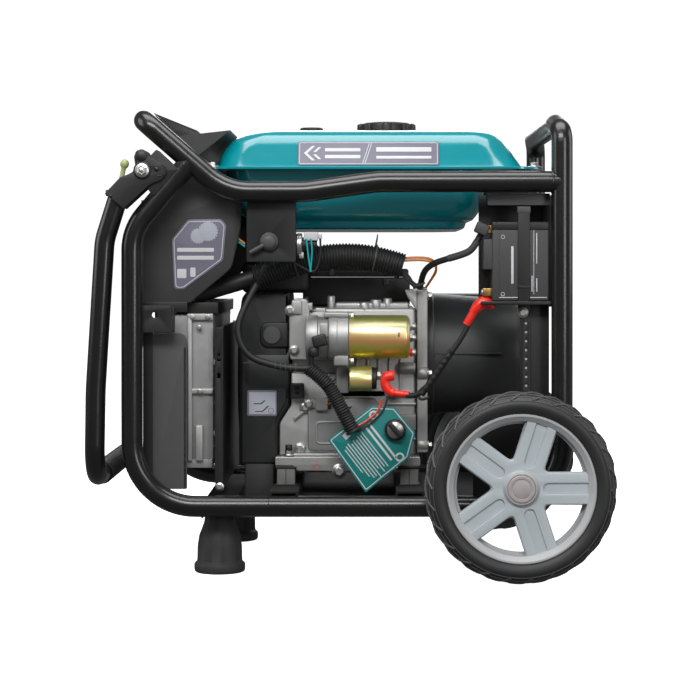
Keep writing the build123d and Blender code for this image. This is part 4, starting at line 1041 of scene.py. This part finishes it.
def alternator():
    """Cast adapter plate and the ribbed alternator cover with its parting seam."""
    arch = [(128 * math.cos(math.radians(a)), 302 + 128 * math.sin(math.radians(a)))
            for a in range(-18, 199, 4)]
    plate_main = plate([[(-118, 176), (118, 176), *arch]], "x", 108.4, 124, CAST, 2)
    edge_strip = plate([rectangle(107.5, 124, 176, 430, 3)], "y", -128, -116, CAST, 2)
    lugs = []
    for y, z in ((-118, 420), (118, 420), (-122, 188), (122, 188), (-126, 300), (126, 300)):
        lugs += [disc((116, y * 0.98, z), "x", 11, 15, CAST, 1.4),
                 bolt((124, y * 0.98, z), "x", 1, flat=4.6, washer=7.4, height=5)]
    ribs = boxes(CAST, *[(107.6, -124, 176 + 46 * k, 113, -110, 180 + 46 * k, 1) for k in range(5)])
    web = plate([rounded([(88, 430), (118, 432), (118, 392), (106, 398), (92, 420)], 3)], "y", -124, -108,
                CAST, 1.4)
    top = box((106, -120, 421), (124, 60, 433), CAST, 2)
    assemble("adapter_casting", [plate_main, edge_strip, lugs, ribs, web, top],
             stands_for=["adapter_plate"])

    shell = lathe([(124.2, 94), (124.2, 98), (128, 99), (134, 99), (136, 97.4), (200, 92.5), (262, 88),
                   (272, 86), (279, 82), (282, 76), (282, 40)], (0, 0, DUCT_Z), "x", SHELL, 96, angle=30,
                  caps=False)
    back = lathe([(281, 60), (281.6, 4)], (0, 0, DUCT_Z), "x", SHELL, 64)
    seam = [box((126, side * 95 - 3, 328), (240, side * 91.5 + 3, 330.4), SHELL, 0.8) for side in (NEAR, FAR)]
    slats = [box((279, -50, 279 + 14 * k), (283, 50, 285 + 14 * k), SHELL, 1) for k in range(7)]
    assemble("alternator_shell", [shell, back, seam, slats],
             stands_for=["alternator_cover"])


# ---- battery and wiring ---------------------------------------------------------------------------
def battery():
    """Moulded battery case with terminals, its tray, strap and perforated column."""
    low, high = BATTERY_LOW, BATTERY_HIGH
    case = boxes(CASE, (*low, high.x, high.y, 522, 2), (205, low.y + 2, 461, low.x + 1, low.y + 54, 507, 1.6))
    case += boxes(SATIN, (low.x - 0.6, low.y - 0.6, 520, high.x + 0.6, high.y + 0.6, high.z - 1, 2))
    case += boxes(GUARD, (low.x + 10, low.y - 0.9, 419, low.x + 10.8, low.y + 0.5, 518, 0.2))
    case += boxes(PRINT, (low.x + 10, low.y - 0.9, 418.6, high.x - 3, low.y + 0.5, 419.8, 0.2),
                  *[(x, low.y - 0.7, z0, x + wide, low.y + 0.5, z1, 0.2) for x, z0, z1, wide in (
                      (246.5, 440, 496, 3.6), (280, 424, 520, 0.9), (284, 428, 448, 1.6),
                      (284, 470, 516, 1.6), (277, 428, 452, 1.6))])
    case += [torus((low.x + 16, low.y - 0.3, z), "y", 2.6, 0.45, PRINT, 24) for z in (424, 510)]
    for z in (427, 522):
        case += [box((205, -225, z - 6), (219, -206, z + 6), BRASS, 0.8),
                 bolt((205.4, -216, z), "x", -1, flat=4, washer=5.6, height=1.6)]
    assemble("battery_moulded", case, stands_for=["battery"])

    tray = boxes(SATIN, (201, -236, 408, 306, -165, 413.6, 1), (201, -169.6, 413, 306, -166, 575, 0.8),
                 (299, -172, 404, 318, -166, 575, 0.8), (262, -205, 160, 306, -200, 408, 0.8),
                 (259, -206, 396, 277, -200, 412, 0.8), (256, -236, 433, 275, -235, 437, 0.4))
    tray += boxes(GUARD, (212, -218, 560, 306, -166, 576, 1.2), (212, -219, 558, 306, -216, 576, 0.8),
                  (255.6, -236, 546, 275.4, -222, 556, 1))
    tray += boxes(SOFT_BLACK, (256.6, -235.4, 412, 274.4, -232.4, 552, 0.8),
                  (256.6, -235.4, 546, 274.4, -218, 549, 0.8))
    tray.append(bolt((266, -206, 396), "y", -1, flat=5, washer=8.6, height=5))
    levels = [272 + 13.5 * k for k in range(9)]
    holes = [circle(270.8, z, 2.1, 16) for z in levels]
    dots = [disc((270.8, -206, z), "y", 2.1, 1, PRINT, 0.1, 16) for z in levels]
    strip = plate([rectangle(264.5, 277, 262, 385, 1.5)] + holes, "y", -208.4, -205, SATIN, 0.5)
    assemble("battery_carrier", [tray, strip, dots], stands_for=["battery_tray"])


def strands(*rows):
    """Round leads, each a row of its route, its radius and its material."""
    return [strand(*row) for row in rows]


def wiring():
    """Starter cables with boots and sleeves, the ribbed loom and the small leads."""
    route = [(90, -196, 270), (104, -202, 268), (122, -208, 284), (150, -213, 326), (172, -215, 356),
             (186, -216, 384), (193, -216, 400)]
    tail = [(118, -206, 284), (112, -205, 280), (106, -203, 272), (112, -205, 262), (124, -208, 268)]
    parts = strands((route, 4.2, SOFT_BLACK), (tail, 2.2, SOFT_BLACK))
    boot = walk([(72, -188, 299), (62, -188, 300), (57, -188, 293), (58, -188, 283), (66, -189, 274),
                 (80, -192, 272), (94, -196, 271)], 2)
    swell = [8.2 if k < 8 else 7.4 if k < 18 else 7.0 if k < 22 else 5.2 for k in range(len(boot))]
    swell[0] = 5.5
    upper = walk([(180, -216, 378), (187, -217, 390), (192, -217, 399)], 2)
    cuff = walk([(189, -217, 396), (199, -217, 408), (207, -217, 413), (215, -217, 410), (220, -217, 403)], 2)
    grow = [6 + 3.2 * math.sin(math.pi * k / (len(cuff) - 1)) for k in range(len(cuff))]
    tape = walk([(112, -206, 272), (128, -209, 292), (146, -213, 320), (158, -214, 338)], 2)
    uneven = [5.4 + 0.3 * math.sin(k * 1.3) for k in range(len(tape))]
    parts += [skin(boot, swell, RED, 24), skin(upper, 6.0, RED, 24), skin(cuff, grow, RED, 24),
              skin(tape, uneven, SATIN, 20), torus((146, -212, 321), "z", 6.2, 1.2, SOFT_BLACK)]
    assemble("positive_lead", parts, stands_for=["positive_cable"])

    negative = [(206, -215, 521), (198, -215, 508), (190, -214, 492), (176, -210, 484), (154, -200, 478),
                (132, -186, 471), (118, -164, 460), (113, -136, 440), (112, -112, 427)]
    sleeve = walk([(196, -215, 504), (190, -214, 492), (176, -210, 484), (154, -200, 478)], 2)
    parts = [strand(negative, 4.8, SOFT_BLACK), skin(sleeve, 5.4, CASE, 20),
             box((193, -232, 514), (213, -211, 531), CASE, 2.4, turn=24)]
    for drop, apart in ((0, 0), (4, 3)):
        parts.append(strand([(78, -150, 478 - drop), (104, -154, 480 - drop), (124, -158, 479 - drop),
                             (134, -158, 474 - drop), (138, -150, 462 - apart), (130, -132, 446),
                             (120, -114, 430)], 1.8, ORANGE))
    for x, z, shift in ((84, 452, 0), (86, 446, 3), (82, 458, -3), (90, 442, 5)):
        parts.append(strand([(74, -146, 466 + shift), (x + 4, -148, z), (x + 16, -150, z - 10),
                             (x + 24 + shift, -146, 436 + shift)], 2.0, SOFT_BLACK))
    assemble("negative_lead", parts, stands_for=["negative_cable"])

    lead = [(-138, -178, 440), (-158, -186, 404), (-170, -191, 366), (-152, -192, 328), (-112, -192, 315),
            (-80, -192, 310), (-58, -192, 311)]
    loom = [(-60, -192, 312), (-32, -192, 291), (-16, -194, 263), (-3, -196, 238), (9, -196, 216)]
    parts = strands(
        (lead, 5.2, SOFT_BLACK),
        ([(-54, -198, 330), (-56, -196, 318), (-50, -194, 308), (-40, -192, 300)], 4.2, SOFT_BLACK),
        ([(52, -186, 262), (50, -187, 250), (42, -188, 240), (26, -190, 228), (14, -192, 222)], 1.5, RED),
        ([(62, -186, 268), (58, -187, 250), (46, -188, 236), (30, -190, 222), (14, -192, 214)], 1.5,
         SOFT_BLACK),
        ([(-34, -138, 250), (-28, -144, 254), (-22, -150, 262), (-20, -160, 270)], 1.4, ORANGE))
    parts.append(corrugated(loom, 11.4, 3.9, 1.9, SOFT_BLACK))
    parts += [torus(wrap, "x", 5.6, 0.8, GUARD, 24) for wrap in walk(lead, 4)[-14:-4:2]]
    for x, z in ((-28, 288), (-4, 246), (10, 216)):
        tie = torus((0, 0, 0), "z", 12.0, 1.1, SOFT_BLACK, 32)
        turn = Matrix.Rotation(math.radians(148), 4, "Y")
        tie.data.transform(Matrix.Translation(Vector((x, -195, z)) * MM) @ turn)
        parts.append(tie)
    assemble("engine_loom", parts, stands_for=["wiring_loom"])


def fuel_valve():
    """Valve plate with a turned knob and lever, and the shut-off solenoid with its plug."""
    sheet = plate([rectangle(-151.5, -77.5, 472.5, 563, 1.5), circle(VALVE_X, VALVE_Z, 6.4)], "y",
                  -220.5, -217.5, SATIN, 0.8)
    flange = box((-80, -220, 474), (-77.4, -196, 563), SATIN, 0.8)
    solenoid = [lathe([(-77.6, 16), (-76, 17.4), (-70, 17.4), (-68.6, 16.2), (-68.6, 10)], (0, -190, 499),
                      "x", ZINC, 48, angle=35),
                lathe([(-68.6, 11), (-60, 11), (-59, 9.6), (-46, 9)], (0, -190, 499), "x", SOFT_BLACK, 40)]
    solenoid += boxes(PRINT, (-66, -203, 505, -44, -190, 518, 1.6), (-44, -201, 508, -38, -193, 515, 1.2))
    solenoid += boxes(ZINC, (-74, -200, 478, -66, -184, 488, 1.4))
    leads = strands(
        ([(-62, -204, 508), (-60, -204, 490), (-58, -203, 474), (-55, -202, 458)], 1.3, CYAN),
        ([(-55, -204, 508), (-53, -204, 494), (-54, -203, 476), (-56, -202, 458)], 1.3, CYAN),
        ([(-41, -200, 508), (-40, -200, 488), (-44, -200, 466), (-52, -200, 456), (-64, -200, 462),
          (-86, -204, 474)], 1.6, SOFT_BLACK),
        ([(-174, -180, 513), (-166, -182, 508), (-156, -186, 500)], 1.8, ORANGE),
        ([(-176, -178, 509), (-166, -180, 504), (-156, -184, 496)], 1.8, CYAN),
        ([(-120, -214, 478), (-126, -210, 462), (-132, -204, 450), (-136, -196, 440)], 3.4, SOFT_BLACK))
    assemble("valve_plate_and_solenoid", [sheet, flange, solenoid, leads],
             stands_for=["valve_bracket"])
    knob = [lathe([(-210, 6), (-221, 6), (-222, 13.4), (-224, 14), (-226, 13.6), (-227, 11.4), (-231, 11),
                   (-233, 9), (-234, 6), (-234.3, 2)], (VALVE_X, 0, VALVE_Z), "y", GUARD, 48, angle=30)]
    arm = skin([(-120, -229.5, 501.4), (-128, -229.5, 496.6), (-138, -229, 491), (-146, -228.6, 486.6)],
               [3.6, 3.4, 3.6, 3.0], GUARD, 14, 70)
    assemble("fuel_valve_knob", [knob, arm], "valve_lever", ["fuel_valve_lever"])


# ---- control panel face -----------------------------------------------------------------------------
def panel_controls():
    """Outlets with sprung lids, rocker, breaker and display on the sloping panel."""
    dress(COVER, "control_housing", "control_panel")
    for index in (1, 2):
        node = f"socket_lid_{index}"
        low, high = corners(node)
        y = (low.y + high.y) / 2
        lid = [lathe([(-301.4, 25), (-303.4, 25), (-304.5, 23.6), (-304.5, 17), (-304, 16), (-304, 3)],
                     (0, y, SOCKET_Z), "x", PLASTIC, 56, angle=30),
               disc((-303, y, 484), "y", 2.6, 18, STEEL, 0.4, 24),
               box((-304.4, y - 8, 474), (-301.7, y + 8, 484), PLASTIC, 0.8),
               box((-304.5, y - 6, 431.6), (-301.8, y + 6, 436), PLASTIC, 0.8)]
        assemble(f"outlet_lid_{index}", lid, f"lid_{index}", [node])
    parts = []
    for y in SOCKET_Y:
        holes = [circle(y + across, SOCKET_Z, 2.5, 20) for across in (-9.5, 9.5)]
        parts += [lathe([(-272, 23.6), (-299.6, 23.6), (-301, 22.8), (-301, 19.6), (-300, 19), (-288, 18.6)],
                        (0, y, SOCKET_Z), "x", PLASTIC, 56, angle=30, caps=False),
                  plate([circle(y, SOCKET_Z, 19, 40), *holes], "x", -288.5, -284, SOFT_BLACK, 0.3),
                  disc((-280, y, SOCKET_Z), "x", 19, 5, PLASTIC, 0.5)]
    assemble("outlet_bodies", parts, stands_for=["power_sockets"])
    dress(GLASS, "display_window")
    dress(RED, "circuit_breaker")
    dress(SOFT_BLACK, "engine_switch")
    screws = [lathe([(-297, 4.4), (-299, 4), (-299.6, 2.6)], (0, y, z), "x", ZINC, 24, angle=40)
              for y in (-170, 170) for z in (424, 490)]
    assemble("panel_screws", screws)


# ---- light, floor and camera ---------------------------------------------------------------------------
def studio():
    """White sweep, broad soft lights and the camera at the photograph's viewing angle."""
    bpy.ops.mesh.primitive_plane_add(size=40, location=(0, 0, 0))
    floor = bpy.context.object
    floor.name = "studio_floor"
    pale = bpy.data.materials.new("floor_pale")
    pale.use_nodes = True
    bsdf = pale.node_tree.nodes["Principled BSDF"]
    bsdf.inputs["Base Color"].default_value = (0.86, 0.86, 0.86, 1)
    bsdf.inputs["Roughness"].default_value = 0.9
    bsdf.inputs["Emission Color"].default_value = (1, 1, 1, 1)
    bsdf.inputs["Emission Strength"].default_value = 1.08
    floor.data.materials.append(pale)
    floor.visible_glossy = False
    floor.visible_diffuse = False

    scene = bpy.context.scene
    world = bpy.data.worlds.new("studio")
    scene.world = world
    world.use_nodes = True
    nodes, links = world.node_tree.nodes, world.node_tree.links
    nodes.clear()
    output = nodes.new("ShaderNodeOutputWorld")
    seen = nodes.new("ShaderNodeBackground")
    seen.inputs["Strength"].default_value = 1.05
    seen.inputs["Color"].default_value = (1, 1, 1, 1)
    fill = nodes.new("ShaderNodeBackground")
    fill.inputs["Color"].default_value = (1, 1, 1, 1)
    fill.inputs["Strength"].default_value = 0.13
    path = nodes.new("ShaderNodeLightPath")
    mix = nodes.new("ShaderNodeMixShader")
    links.new(path.outputs["Is Camera Ray"], mix.inputs["Fac"])
    links.new(fill.outputs["Background"], mix.inputs[1])
    links.new(seen.outputs["Background"], mix.inputs[2])
    links.new(mix.outputs["Shader"], output.inputs["Surface"])

    def softbox(name, place, target, width, height, power):
        data = bpy.data.lights.new(name, "AREA")
        data.shape = "RECTANGLE"
        data.size, data.size_y, data.energy = width, height, power
        lamp = bpy.data.objects.new(name, data)
        lamp.location = place
        lamp.rotation_euler = (Vector(target) - Vector(place)).to_track_quat("-Z", "Y").to_euler()
        bpy.context.collection.objects.link(lamp)

    softbox("top", (0.0, -0.4, 2.6), (0, 0, 0.4), 2.6, 1.4, 52)
    softbox("front_high", (-0.5, -2.5, 2.1), (0, 0, 0.35), 2.2, 0.8, 60)
    softbox("front_low", (1.6, -2.8, 0.9), (0, 0, 0.35), 0.7, 1.4, 18)
    softbox("back", (0.3, 2.6, 1.6), (0, 0, 0.4), 2.4, 1.4, 26)
    softbox("left", (-2.6, -0.4, 1.3), (0, 0, 0.4), 1.4, 1.6, 16)
    softbox("right", (2.6, 0.2, 1.2), (0, 0, 0.4), 1.4, 1.6, 14)

    data = bpy.data.cameras.new("camera")
    data.lens, data.sensor_width = 102.857, 36
    data.shift_x, data.shift_y = -18 / 700, -85 / 700
    camera = bpy.data.objects.new("camera", data)
    camera.location = (0.0315, -3.235, 0.468)
    camera.rotation_euler = (math.pi / 2, 0, 0)
    bpy.context.collection.objects.link(camera)
    scene.camera = camera
    scene.view_settings.view_transform = "Standard"


frame_details()
feet()
for side, name in ((NEAR, "near"), (FAR, "far")):
    tyre(name)
    rim(side, name)
handle_hardware()
tank()
side_covers()
inverter()
guards()
shroud()
crank_case()
starter()
engine_top()
oil_fittings()
mounts()
alternator()
battery()
wiring()
fuel_valve()
panel_controls()
studio()
